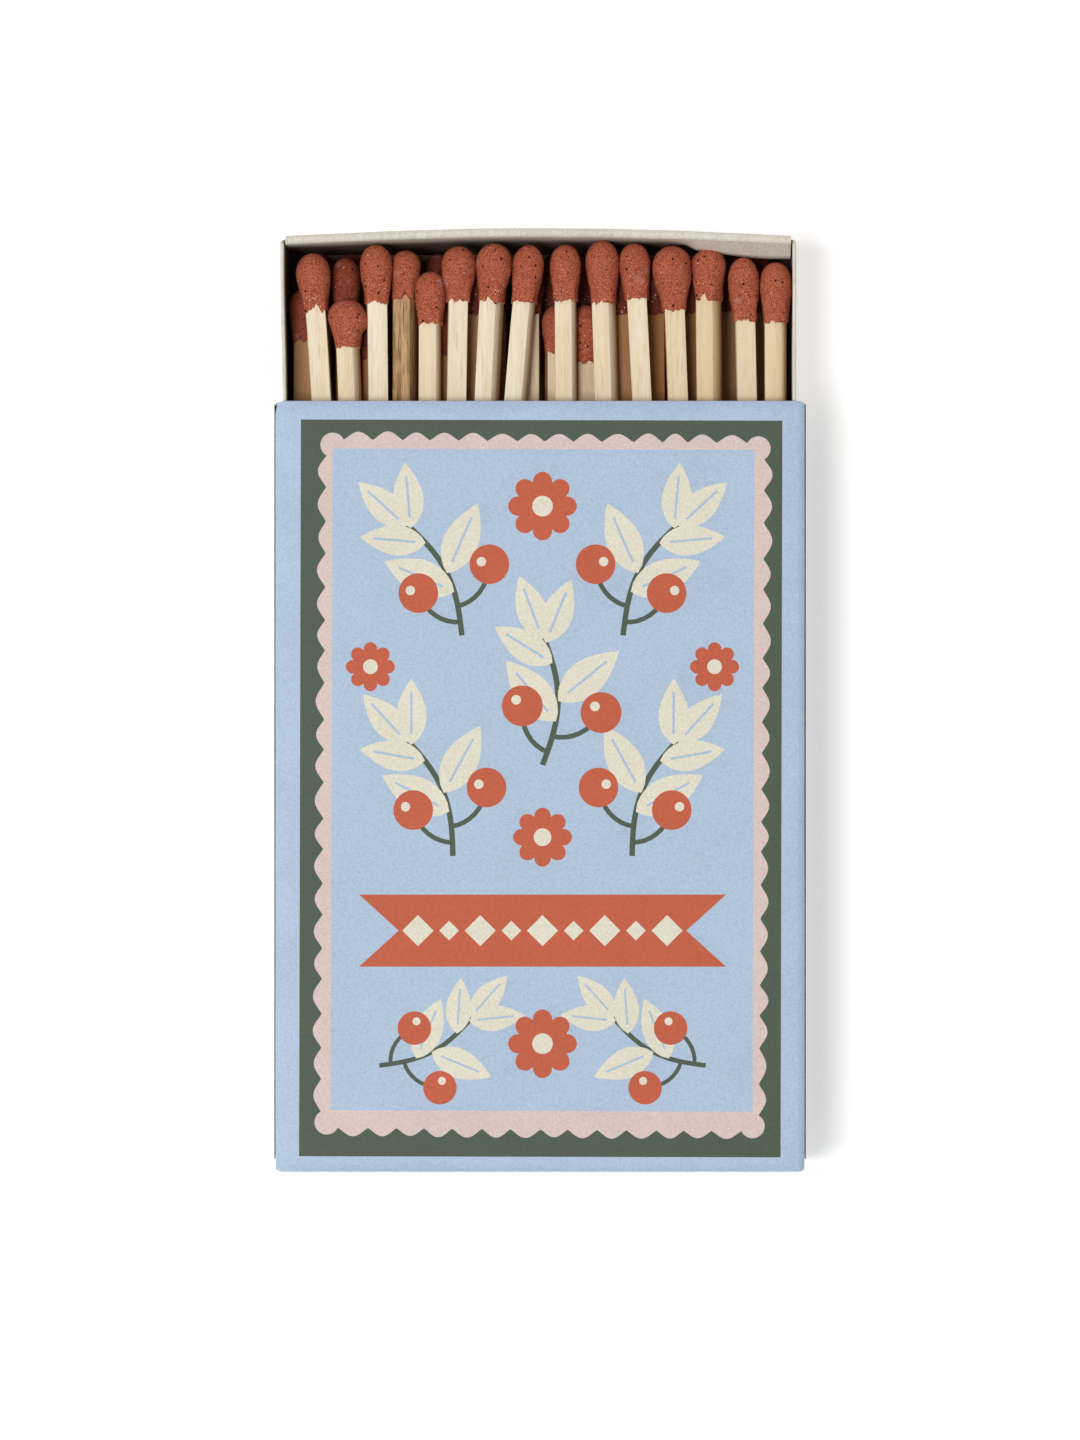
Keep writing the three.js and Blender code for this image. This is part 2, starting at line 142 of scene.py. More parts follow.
class ShaderTree:
    """Short ways of adding and joining the nodes of one shader tree."""

    def __init__(self, tree: bpy.types.NodeTree) -> None:
        """Takes the tree to fill."""
        self.tree = tree

    def add(self, kind: str, **settings: object) -> bpy.types.Node:
        """Adds a node.

        Args:
            kind: Blender's name of the node type.
            settings: Properties to set on it.

        Returns:
            The new node.
        """
        node = self.tree.nodes.new(kind)
        for name, value in settings.items():
            setattr(node, name, value)
        return node

    def feed(self, source: Socket | float | Sequence[float], target: Socket) -> None:
        """Joins a socket to another, or sets a constant on it.

        Args:
            source: Socket to read, or a constant.
            target: Socket to feed.
        """
        if isinstance(source, bpy.types.NodeSocket):
            self.tree.links.new(source, target)
        else:
            target.default_value = source

    def maths(self, how: Blend, first: Socket | float, second: Socket | float) -> Socket:
        """Combines two values.

        Args:
            how: Arithmetic to use.
            first: First value.
            second: Second value.

        Returns:
            The socket of the result.
        """
        node = self.add("ShaderNodeMath", operation=how.value)
        self.feed(first, node.inputs[0])
        self.feed(second, node.inputs[1])
        return node.outputs[0]

    def stretched(self, vector: Socket, scale: Sequence[float]) -> Socket:
        """Scales coordinates along each axis.

        Args:
            vector: Coordinates to scale.
            scale: Factors along X, Y and Z.

        Returns:
            The socket of the scaled coordinates.
        """
        node = self.add("ShaderNodeVectorMath", operation="MULTIPLY")
        self.feed(vector, node.inputs[0])
        node.inputs[1].default_value = scale
        return node.outputs[0]

    def noise(self, vector: Socket, scale: Socket | float, detail: float, rough: float) -> Socket:
        """Adds a noise texture.

        Args:
            vector: Coordinates at which it is read.
            scale: How fine it is, the number of its cells in a metre.
            detail: Number of finer layers.
            rough: Strength of each layer beside the coarser one.

        Returns:
            The socket of its value, from 0 to 1.
        """
        node = self.add("ShaderNodeTexNoise")
        self.feed(vector, node.inputs["Vector"])
        self.feed(scale, node.inputs["Scale"])
        node.inputs["Detail"].default_value = detail
        node.inputs["Roughness"].default_value = rough
        return node.outputs["Fac"]

    def ramp(self, value: Socket, start: float, end: float, low: float, high: float) -> Socket:
        """Maps a value to another range and clamps it there.

        Args:
            value: Value to map.
            start: Value that becomes low.
            end: Value that becomes high.
            low: Result at the start.
            high: Result at the end.

        Returns:
            The socket of the result.
        """
        node = self.add("ShaderNodeMapRange")
        self.feed(value, node.inputs["Value"])
        for name, number in (("From Min", start), ("From Max", end), ("To Min", low), ("To Max", high)):
            node.inputs[name].default_value = number
        return node.outputs["Result"]

    def tint(self, share: Socket, first: Socket | Colour, second: Socket | Colour) -> Socket:
        """Mixes two colours.

        Args:
            share: Share of the second colour, from 0 to 1.
            first: Colour at 0.
            second: Colour at 1.

        Returns:
            The socket of the mixed colour.
        """
        node = self.add("ShaderNodeMix", data_type="RGBA")
        self.feed(share, node.inputs["Factor"])
        self.feed(first, node.inputs["A"])
        self.feed(second, node.inputs["B"])
        return node.outputs["Result"]

    def darkened_by_painted_shade(self, base: Socket, value: Socket, stain_and_shade: Colour) -> Socket:
        """Multiplies a colour by a painted shade, as dark as a value says.

        Args:
            base: Colour to darken with painted shade.
            value: Strength of the painted shade, from 0 to 1.
            stain_and_shade: What the colour is multiplied by where the value is 1.

        Returns:
            The colour darkened by painted shade.
        """
        # Painted shade: a ramp from white to the shade colour, which the base colour is multiplied by.
        ramp = self.add("ShaderNodeValToRGB")
        ramp.color_ramp.elements[0].color = (1.0, 1.0, 1.0, 1.0)
        ramp.color_ramp.elements[1].color = stain_and_shade
        ramp.color_ramp.elements.new(0.5).color = tuple(math.sqrt(c) for c in stain_and_shade)
        self.feed(value, ramp.inputs[0])
        product = self.add("ShaderNodeMix", data_type="RGBA", blend_type="MULTIPLY")
        product.inputs["Factor"].default_value = 1.0
        self.feed(base, product.inputs["A"])
        self.feed(ramp.outputs["Color"], product.inputs["B"])
        return product.outputs["Result"]


def shader_group(name: str, inputs: dict[str, tuple[str, float]], outputs: Iterable[str]) -> ShaderTree:
    """Makes an empty node group with named sockets.

    Args:
        name: Name of the group.
        inputs: Socket type and default of each input, by name.
        outputs: Names of the outputs, all plain values.

    Returns:
        The group's tree, holding its input and output nodes.
    """
    tree = bpy.data.node_groups.new(name, "ShaderNodeTree")
    for label, (kind, value) in inputs.items():
        socket = tree.interface.new_socket(name=label, in_out="INPUT", socket_type=kind)
        if kind == "NodeSocketFloat":
            socket.default_value = value
    for label in outputs:
        tree.interface.new_socket(name=label, in_out="OUTPUT", socket_type="NodeSocketFloat")
    shader = ShaderTree(tree)
    shader.add("NodeGroupInput", name="Inputs")
    shader.add("NodeGroupOutput", name="Outputs")
    return shader


VECTOR = ("NodeSocketVector", 0.0)


class SharedEffects:
    """The node groups that several finishes use, each built once."""

    def __init__(self) -> None:
        """Builds every group."""
        self.fibre = self._paper_fibre()
        self.wear = self._edge_wear()
        self.grain = self._wood_grain()
        self.speckle = self._speckle()

    @staticmethod
    def _ends(shader: ShaderTree) -> tuple[bpy.types.Node, bpy.types.Node]:
        """Returns a group's input and output nodes."""
        return shader.tree.nodes["Inputs"], shader.tree.nodes["Outputs"]

    def _paper_fibre(self) -> bpy.types.NodeTree:
        """Builds the fibres, print grain and slow mottling of card.

        Returns:
            A group that gives Height for bumps, Grain for fine colour change and Mottle for slow
            colour change, each about 0.5 on average.
        """
        inputs = {"Vector": VECTOR, "Grain Scale": ("NodeSocketFloat", 5200.0)}
        shader = shader_group("Paper Fibre", inputs, ("Height", "Grain", "Mottle"))
        start, end = self._ends(shader)
        place = start.outputs["Vector"]
        grain = shader.noise(place, start.outputs["Grain Scale"], 2.0, 0.6)
        fibres = shader.noise(shader.stretched(place, (1.0, 0.22, 1.0)), 2600.0, 3.0, 0.65)
        height = shader.maths(Blend.MULTIPLY, shader.maths(Blend.ADD, grain, fibres), 0.5)
        shader.feed(height, end.inputs["Height"])
        shader.feed(grain, end.inputs["Grain"])
        shader.feed(shader.noise(place, 140.0, 2.0, 0.5), end.inputs["Mottle"])
        return shader.tree

    def _edge_wear(self) -> bpy.types.NodeTree:
        """Builds the rubbing of creases and cut edges.

        Returns:
            A group that turns a painted Edge value into a broken Mask.
        """
        number = "NodeSocketFloat"
        inputs = {"Vector": VECTOR, "Edge": (number, 0.0), "Amount": (number, 0.5)}
        shader = shader_group("Edge Wear", inputs, ("Mask",))
        start, end = self._ends(shader)
        breaks = shader.noise(start.outputs["Vector"], 900.0, 4.0, 0.7)
        reach = shader.maths(Blend.MULTIPLY, start.outputs["Edge"], start.outputs["Amount"])
        edge = shader.maths(Blend.SUBTRACT, shader.maths(Blend.ADD, reach, breaks), 0.82)
        shader.feed(shader.ramp(edge, 0.0, 0.22, 0.0, 1.0), end.inputs["Mask"])
        return shader.tree

    def _wood_grain(self) -> bpy.types.NodeTree:
        """Builds the lengthwise grain of sawn wood that runs along Y.

        Returns:
            A group that gives Streak for colour, Vein for thin dark lines and Height for bumps.
        """
        inputs = {"Vector": VECTOR, "Offset": ("NodeSocketFloat", 0.0)}
        shader = shader_group("Wood Grain", inputs, ("Streak", "Vein", "Height"))
        start, end = self._ends(shader)
        shift = shader.add("ShaderNodeCombineXYZ")
        shader.feed(start.outputs["Offset"], shift.inputs["Z"])
        moved = shader.add("ShaderNodeVectorMath", operation="ADD")
        shader.feed(start.outputs["Vector"], moved.inputs[0])
        shader.feed(shift.outputs[0], moved.inputs[1])
        bands = shader.noise(shader.stretched(moved.outputs[0], (1.0, 0.035, 1.0)), 1500.0, 3.0, 0.55)
        pores = shader.noise(shader.stretched(moved.outputs[0], (1.0, 0.06, 1.0)), 7000.0, 2.0, 0.6)
        fine = shader.maths(Blend.MULTIPLY, pores, 0.45)
        streak = shader.maths(Blend.ADD, shader.maths(Blend.MULTIPLY, bands, 0.55), fine)
        veins = shader.noise(shader.stretched(moved.outputs[0], (1.0, 0.05, 1.0)), 4200.0, 3.0, 0.6)
        shader.feed(streak, end.inputs["Streak"])
        shader.feed(shader.ramp(veins, 0.55, 0.7, 0.0, 1.0), end.inputs["Vein"])
        shader.feed(shader.maths(Blend.ADD, pores, bands), end.inputs["Height"])
        return shader.tree

    def _speckle(self) -> bpy.types.NodeTree:
        """Builds scattered round spots.

        Returns:
            A group whose Mask is 1 inside the spots. Size is their share of a cell, and Share is
            how many of the cells hold one.
        """
        number = "NodeSocketFloat"
        inputs = {"Vector": VECTOR, "Scale": (number, 2000.0), "Size": (number, 0.2)}
        inputs["Share"] = (number, 0.3)
        shader = shader_group("Speckle", inputs, ("Mask",))
        start, end = self._ends(shader)
        cells = shader.add("ShaderNodeTexVoronoi")
        shader.feed(start.outputs["Vector"], cells.inputs["Vector"])
        shader.feed(start.outputs["Scale"], cells.inputs["Scale"])
        near = shader.maths(Blend.LESS, cells.outputs["Distance"], start.outputs["Size"])
        parts = shader.add("ShaderNodeSeparateColor")
        shader.feed(cells.outputs["Color"], parts.inputs[0])
        chosen = shader.maths(Blend.LESS, parts.outputs[0], start.outputs["Share"])
        shader.feed(shader.maths(Blend.MULTIPLY, near, chosen), end.inputs["Mask"])
        return shader.tree


# Finishes


class Surface(ShaderTree):
    """The tree of one material, with its principled shader in place."""

    def __init__(self, name: str, roughness: float) -> None:
        """Makes the material.

        Args:
            name: Name of the material.
            roughness: Roughness of the surface.
        """
        self.material = bpy.data.materials.new(name)
        self.material.use_nodes = True
        super().__init__(self.material.node_tree)
        self.shader = self.tree.nodes["Principled BSDF"]
        self.shader.inputs["Roughness"].default_value = roughness
        self.shader.inputs["Specular IOR Level"].default_value = 0.3
        self.place = self.add("ShaderNodeTexCoord").outputs["Object"]

    def group(self, tree: bpy.types.NodeTree, **values: Socket | float) -> bpy.types.Node:
        """Places a shared group that reads the object's own coordinates.

        Args:
            tree: The group.
            values: What its other inputs get, with _ for a space in their names.

        Returns:
            The group's node.
        """
        node = self.add("ShaderNodeGroup", node_tree=tree)
        self.feed(self.place, node.inputs["Vector"])
        for name, value in values.items():
            self.feed(value, node.inputs[name.replace("_", " ")])
        return node

    def painted(self, name: str) -> Socket:
        """Reads a value that was painted on the mesh."""
        return self.add("ShaderNodeAttribute", attribute_name=name).outputs["Fac"]

    def finish(self, base: Socket, height: Socket, depth: float) -> bpy.types.Material:
        """Joins the colour and the bumps to the shader.

        Args:
            base: Colour of the surface.
            height: Height of its bumps, from 0 to 1.
            depth: Depth of the bumps, in millimetres.

        Returns:
            The finished material.
        """
        bump = self.add("ShaderNodeBump")
        bump.inputs["Distance"].default_value = depth * MM
        bump.inputs["Strength"].default_value = 1.0
        self.feed(height, bump.inputs["Height"])
        self.feed(bump.outputs[0], self.shader.inputs["Normal"])
        self.feed(base, self.shader.inputs["Base Color"])
        return self.material


@dataclass(frozen=True)
class InkedCard:
    """Card printed with one ink, rubbed pale at its creases."""

    ink: Ink
    roughness: float = 0.58
    grain: float = 0.11
    worn: Colour = colour(214, 218, 220)

    def build(self, effects: SharedEffects) -> bpy.types.Material:
        """Builds the material.

        Args:
            effects: The shared node groups.

        Returns:
            The material.
        """
        surface = Surface(f"inked_card_{self.ink.name.lower()}", self.roughness)
        fibre = surface.group(effects.fibre)
        wear = surface.group(effects.wear, Edge=surface.painted("edge"), Amount=0.55)
        full = colour(*self.ink.value)
        light = tuple(min(1.0, c * (1 + self.grain)) for c in full[:3]) + (1.0,)
        dark = tuple(c * (1 - self.grain) for c in full[:3]) + (1.0,)
        share = surface.ramp(fibre.outputs["Grain"], 0.32, 0.68, 0.0, 1.0)
        slow = surface.ramp(fibre.outputs["Mottle"], 0.3, 0.7, -0.12, 0.12)
        printed = surface.tint(surface.maths(Blend.ADD, share, slow), dark, light)
        base = surface.tint(wear.outputs["Mask"], printed, self.worn)
        return surface.finish(base, fibre.outputs["Height"], 0.012)


@dataclass(frozen=True)
class RawBoard:
    """Unprinted card with visible fibres, darkened by a brown painted shade where the mesh carries it."""

    name: str
    light: Colour
    dark: Colour
    # Brown painted shade colour of the tray's inside.
    inside_shade: Colour = colour(112, 74, 50)
    roughness: float = 0.85

    def build(self, effects: SharedEffects) -> bpy.types.Material:
        """Builds the material.

        Args:
            effects: The shared node groups.

        Returns:
            The material.
        """
        surface = Surface(self.name, self.roughness)
        fibre = surface.group(effects.fibre, Grain_Scale=3600.0)
        fleck = surface.group(effects.speckle, Scale=1500.0, Size=0.16, Share=0.06)
        share = surface.ramp(fibre.outputs["Height"], 0.35, 0.62, 0.0, 1.0)
        slow = surface.ramp(fibre.outputs["Mottle"], 0.3, 0.7, -0.2, 0.2)
        plain = surface.tint(surface.maths(Blend.ADD, share, slow), self.dark, self.light)
        darker = tuple(c * 0.72 for c in self.dark[:3]) + (1.0,)
        flecked = surface.tint(fleck.outputs["Mask"], plain, darker)
        # Painted shade: the tray's inside is darkened towards its floor.
        base = surface.tint(surface.painted("deep"), flecked, self.inside_shade)
        return surface.finish(base, fibre.outputs["Height"], 0.02)


@dataclass(frozen=True)
class StrikingGrit:
    """The rough dark coat of a striking strip."""

    roughness: float = 0.92

    def build(self, effects: SharedEffects) -> bpy.types.Material:
        """Builds the material.

        Args:
            effects: The shared node groups.

        Returns:
            The material.
        """
        surface = Surface("striking_grit", self.roughness)
        grit = surface.noise(surface.place, 3800.0, 3.0, 0.7)
        glint = surface.group(effects.speckle, Scale=2600.0, Size=0.2, Share=0.12)
        bare = surface.group(effects.speckle, Scale=1100.0, Size=0.13, Share=0.5)
        share = surface.ramp(grit, 0.35, 0.65, 0.0, 1.0)
        coat = surface.tint(share, colour(52, 58, 47), colour(92, 99, 82))
        lit = surface.tint(glint.outputs["Mask"], coat, colour(134, 138, 122))
        base = surface.tint(bare.outputs["Mask"], lit, colour(38, 40, 34))
        return surface.finish(base, grit, 0.05)


@dataclass(frozen=True)
class SawnAspen:
    """Pale sawn wood with its grain along the splint."""

    name: str
    light: Colour = colour(255, 248, 228)
    dark: Colour = colour(243, 225, 191)
    # Browner tone of the wood of some matches, its own colour.
    stain_and_shade: Colour = colour(231, 203, 158)
    vein: Colour = colour(196, 164, 122)
    # Painted shade colour that the wood is multiplied by where the mesh carries full painted shade.
    deep: Colour = (0.37, 0.185, 0.082, 1.0)
    vein_depth: float = 0.4
    roughness: float = 0.74

    def build(self, effects: SharedEffects) -> bpy.types.Material:
        """Builds the material.

        Args:
            effects: The shared node groups.

        Returns:
            The material.
        """
        surface = Surface(self.name, self.roughness)
        shade = surface.painted("tint")
        grain = surface.group(effects.grain, Offset=shade)
        speck = surface.group(effects.speckle, Scale=900.0, Size=0.06, Share=0.08)
        share = surface.ramp(grain.outputs["Streak"], 0.38, 0.6, 0.0, 1.0)
        wood = surface.tint(share, self.dark, self.light)
        toned = surface.tint(surface.maths(Blend.MULTIPLY, shade, 0.8), wood, self.stain_and_shade)
        lines = surface.maths(Blend.MULTIPLY, grain.outputs["Vein"], self.vein_depth)
        veined = surface.tint(lines, toned, self.vein)
        # Painted shade: darkens the wood of the lower rows and the splints' lower faces, more towards the
        # front of the tray.
        shaded = surface.darkened_by_painted_shade(veined, surface.painted("deep"), self.deep)
        base = surface.tint(speck.outputs["Mask"], shaded, colour(120, 88, 58))
        return surface.finish(base, grain.outputs["Height"], 0.04)


@dataclass(frozen=True)
class HeadComposition:
    """Dried striking composition: grainy, pitted, with pale specks near the base of a head."""

    roughness: float = 0.8
    light: Colour = colour(208, 118, 88)
    dark: Colour = colour(132, 58, 38)
    # Painted shade colour that the heads are multiplied by where the mesh carries full painted shade.
    deep: Colour = (0.34, 0.22, 0.18, 1.0)
    pit: Colour = colour(48, 14, 10)
    speck: Colour = colour(236, 190, 172)
    smear: Colour = colour(200, 156, 152)

    def build(self, effects: SharedEffects) -> bpy.types.Material:
        """Builds the material.

        Args:
            effects: The shared node groups.

        Returns:
            The material.
        """
        surface = Surface("head_composition", self.roughness)
        grain = surface.noise(surface.place, 5200.0, 3.0, 0.7)
        share = surface.ramp(grain, 0.36, 0.64, 0.0, 1.0)
        fresh = surface.tint(share, self.dark, self.light)
        # Painted shade: darkens the heads of the lower rows.
        body = surface.darkened_by_painted_shade(fresh, surface.painted("deep"), self.deep)
        down = surface.ramp(surface.painted("down"), 0.3, 0.95, 0.015, 0.2)
        cloud = surface.ramp(surface.noise(surface.place, 420.0, 2.0, 0.5), 0.5, 0.68, 0.25, 2.0)
        near = surface.maths(Blend.MULTIPLY, down, cloud)
        pale = surface.group(effects.speckle, Scale=2900.0, Size=0.24, Share=near)
        patch = surface.ramp(surface.noise(surface.place, 330.0, 3.0, 0.6), 0.62, 0.72, 0.0, 0.35)
        smeared = surface.tint(patch, body, self.smear)
        dusted = surface.tint(pale.outputs["Mask"], smeared, self.speck)
        pits = surface.group(effects.speckle, Scale=1250.0, Size=0.19, Share=0.36)
        base = surface.tint(pits.outputs["Mask"], dusted, self.pit)
        depth = surface.maths(Blend.SUBTRACT, grain, pits.outputs["Mask"])
        return surface.finish(base, depth, 0.06)


@dataclass
class Finishes:
    """Every material of the box, built once."""

    effects: SharedEffects = field(default_factory=SharedEffects)

    def __post_init__(self) -> None:
        """Builds the materials."""
        effects = self.effects
        self.inks = {ink: InkedCard(ink).build(effects) for ink in Ink}
        self.lining = RawBoard("lining_board", colour(226, 221, 208), colour(196, 189, 174)).build(effects)
        self.board = RawBoard("tray_board", colour(236, 230, 218), colour(213, 203, 186)).build(effects)
        self.grit = StrikingGrit().build(effects)
        self.aspen = SawnAspen("sawn_aspen").build(effects)
        self.streaked = SawnAspen(
            "streaked_aspen",
            light=colour(232, 194, 146),
            dark=colour(84, 50, 28),
            stain_and_shade=colour(190, 148, 104),
            vein=colour(24, 12, 6),
            vein_depth=1.0,
        ).build(effects)
        self.composition = HeadComposition().build(effects)


# Meshes


class Shell:
    """Points and faces gathered for one piece, in millimetres in the CAD model's frame."""

    def __init__(self) -> None:
        """Starts with nothing."""
        self.points: list[Vector] = []
        self.faces: list[tuple[int, ...]] = []
        self.slots: list[int] = []
        self.paint: dict[str, list[float]] = {}

    def add_points(self, points: Iterable[Vector], **paint: float | Sequence[float]) -> list[int]:
        """Adds points, each with its painted values.

        Args:
            points: The points.
            paint: A value for all, or one for each, by name.

        Returns:
            The indices of the new points.
        """
        new = list(points)
        first = len(self.points)
        self.points.extend(new)
        for name, value in paint.items():
            values = self.paint.setdefault(name, [0.0] * first)
            values.extend(value if isinstance(value, Sequence) else [value] * len(new))
        return list(range(first, first + len(new)))

    def add_face(self, corners: Sequence[int], slot: int = 0) -> None:
        """Adds one face with a material slot."""
        self.faces.append(tuple(corners))
        self.slots.append(slot)

    def bridge(self, first: Sequence[int], second: Sequence[int], slot: int = 0) -> None:
        """Joins two closed rings of equal length with quads.

        Args:
            first: Indices of the first ring's points.
            second: Indices of the second ring's points.
            slot: Material slot.
        """
        count = len(first)
        for i in range(count):
            j = (i + 1) % count
            self.add_face((first[i], first[j], second[j], second[i]), slot)

    def loft(self, rings: Sequence[Sequence[Vector]], slot: int = 0, **paint: Sequence[float]) -> None:
        """Joins a row of rings and closes both ends.

        Args:
            rings: The rings, all of one length.
            slot: Material slot.
            paint: For each ring one value, or one for each of its points, by name.
        """
        rows = [
            self.add_points(ring, **{name: values[i] for name, values in paint.items()})
            for i, ring in enumerate(rings)
        ]
        for first, second in zip(rows, rows[1:]):
            self.bridge(first, second, slot)
        self.add_face(rows[0][::-1], slot)
        self.add_face(rows[-1], slot)

    def build(
        self,
        name: str,
        body: Body,
        slot: str,
        materials: Sequence[bpy.types.Material],
        sharp: float = 40.0,
    ) -> bpy.types.Object:
        """Makes the piece, welds it, turns its faces out and lets it ride on its body.

        Args:
            name: Name of the piece.
            body: CAD body that it moves with.
            slot: Not used.
            materials: Its materials, in the order of the face slots.
            sharp: Angle in degrees above which an edge stays sharp.

        Returns:
            The new object.
        """
        mesh = bpy.data.meshes.new(name)
        mesh.from_pydata([p * MM for p in self.points], [], self.faces)
        for material in materials:
            mesh.materials.append(material)
        mesh.polygons.foreach_set("material_index", self.slots)
        for label, values in self.paint.items():
            padded = values + [0.0] * (len(self.points) - len(values))
            mesh.attributes.new(label, "FLOAT", "POINT").data.foreach_set("value", padded)
        work = bmesh.new()
        work.from_mesh(mesh)
        bmesh.ops.remove_doubles(work, verts=work.verts, dist=WELD * MM)
        loose = [v for v in work.verts if not v.link_faces]
        bmesh.ops.delete(work, geom=loose, context="VERTS")
        bmesh.ops.recalc_face_normals(work, faces=work.faces)
        work.to_mesh(mesh)
        work.free()
        mesh.shade_smooth()
        mesh.set_sharp_from_angle(angle=math.radians(sharp))
        piece = bpy.data.objects.new(name, mesh)
        bpy.context.scene.collection.objects.link(piece)
        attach(piece, body.value)
        LOG.info("%s: %d faces, rides on %s", name, len(mesh.polygons), body.value)
        return piece


# The label


@dataclass(frozen=True)
class Field:
    """One flat area of ink, as a closed outline."""

    ink: Ink
    outline: list[Point]


@dataclass
class Sprig:
    """A leafy stem with round fruit, drawn upwards from its middle."""

    x: float
    y: float
    turn: float
    size: float = 1.0
    flip: bool = False
    leaves: int = 2
    bend: float = 1.9
    foot: float = -9.0
    tip: float = 7.0

    def place(self, x: float, y: float) -> Point:
        """Moves a point of the drawing to its place on the label.

        Args:
            x: Across the drawing.
            y: Up the drawing.

        Returns:
            The point on the label.
        """
        if self.flip:
            x = -x
        angle = math.radians(self.turn)
        x, y = x * self.size, y * self.size
        return (
            self.x + x * math.cos(angle) - y * math.sin(angle),
            self.y + x * math.sin(angle) + y * math.cos(angle),
        )

    def spine(self, share: float) -> tuple[float, float, float]:
        """Follows the stem.

        Args:
            share: Share of the way from the foot to the tip.

        Returns:
            The place across and up the drawing, and the stem's direction there in radians.
        """
        x = self.bend * math.sin(math.pi * share)
        y = mix(self.foot, self.tip, share)
        slope = self.bend * math.pi * math.cos(math.pi * share) / (self.tip - self.foot)
        return x, y, math.atan2(1.0, slope)

    def strip(self, path: Sequence[Point], width: float) -> list[Point]:
        """Outlines a line of even width along a path.

        Args:
            path: Points of the path on the drawing.
            width: Width of the line.

        Returns:
            The outline on the label.
        """
        left, right = [], []
        for i, (x, y) in enumerate(path):
            before, after = path[max(0, i - 1)], path[min(len(path) - 1, i + 1)]
            angle = math.atan2(after[1] - before[1], after[0] - before[0])
            across = (-math.sin(angle) * width / 2, math.cos(angle) * width / 2)
            left.append((x + across[0], y + across[1]))
            right.append((x - across[0], y - across[1]))
        return [self.place(*p) for p in left + right[::-1]]

    def leaf(self, x: float, y: float, angle: float, length: float, width: float) -> list[Point]:
        """Outlines a pointed leaf.

        Args:
            x: Across the drawing, where the leaf starts.
            y: Up the drawing, where the leaf starts.
            angle: Direction in which it grows, in radians.
            length: Its length.
            width: Its width.

        Returns:
            The outline on the label.
        """
        steps = 14
        sides = []
        for side in (1, -1):
            for i in range(steps):
                share = i / steps if side > 0 else 1 - i / steps
                along = share * length
                swell = math.sin(math.pi * share**0.82) ** 0.9
                across = side * swell * width / 2
                sides.append(
                    self.place(
                        x + along * math.cos(angle) - across * math.sin(angle),
                        y + along * math.sin(angle) + across * math.cos(angle),
                    )
                )
        return sides

    def veined_leaf(self, x: float, y: float, angle: float, length: float) -> list[Field]:
        """Draws a cream leaf with the blue line of its vein.

        Args:
            x: Across the drawing, where the leaf starts.
            y: Up the drawing, where the leaf starts.
            angle: Direction in which it grows, in radians.
            length: Its length.

        Returns:
            The blade and its vein.
        """
        ends = [
            (x + reach * length * math.cos(angle), y + reach * length * math.sin(angle))
            for reach in (0.16, 0.8)
        ]
        blade = self.leaf(x, y, angle, length, 0.46 * length)
        return [Field(Ink.CREAM, blade), Field(Ink.FIELD, self.strip(ends, 0.32))]

    def berry(self, share: float, side: int, reach: float, radius: float) -> list[Field]:
        """Draws a coral berry on a bent stalk.

        Args:
            share: Where on the stem the stalk grows.
            side: 1 for the left of the stem, -1 for the right.
            reach: Length of the stalk.
            radius: Radius of the berry.

        Returns:
            The stalk, the berry and its cream spot.
        """
        x, y, along = self.spine(share)
        path = []
        for i in range(9):
            angle = along + side * math.radians(88 - 5 * i)
            path.append((x + reach * i / 8 * math.cos(angle), y + reach * i / 8 * math.sin(angle)))
        end = path[-1]
        ball = [self.place(*p) for p in arc(end, radius, 0, 360, 32)[:-1]]
        spot = arc((end[0] - 0.3 * radius, end[1] + 0.3 * radius), 0.24 * radius, 0, 360, 14)[:-1]
        return [
            Field(Ink.MOSS, self.strip(path, 0.6)),
            Field(Ink.CORAL, ball),
            Field(Ink.CREAM, [self.place(*p) for p in spot]),
        ]

    def fields(self) -> list[Field]:
        """Draws the whole sprig.

        Returns:
            The stem, leaves and berries, lowest first.
        """
        drawn = [Field(Ink.MOSS, self.strip([self.spine(i / 16)[:2] for i in range(17)], 0.7))]
        for i in range(self.leaves):
            for side in (1, -1):
                share = (i + (0.75 if side > 0 else 1.1)) / (self.leaves + 0.25)
                x, y, along = self.spine(min(1.0, share))
                drawn += self.veined_leaf(x, y, along + side * math.radians(50 - 8 * i), 9.6 - 1.3 * i)
        x, y, along = self.spine(1.0)
        drawn += self.veined_leaf(x, y - 0.6, along, 8.2)
        drawn += self.berry(0.1, 1, 6.4, 2.5)
        drawn += self.berry(0.22, -1, 6.6, 2.5)
        return drawn


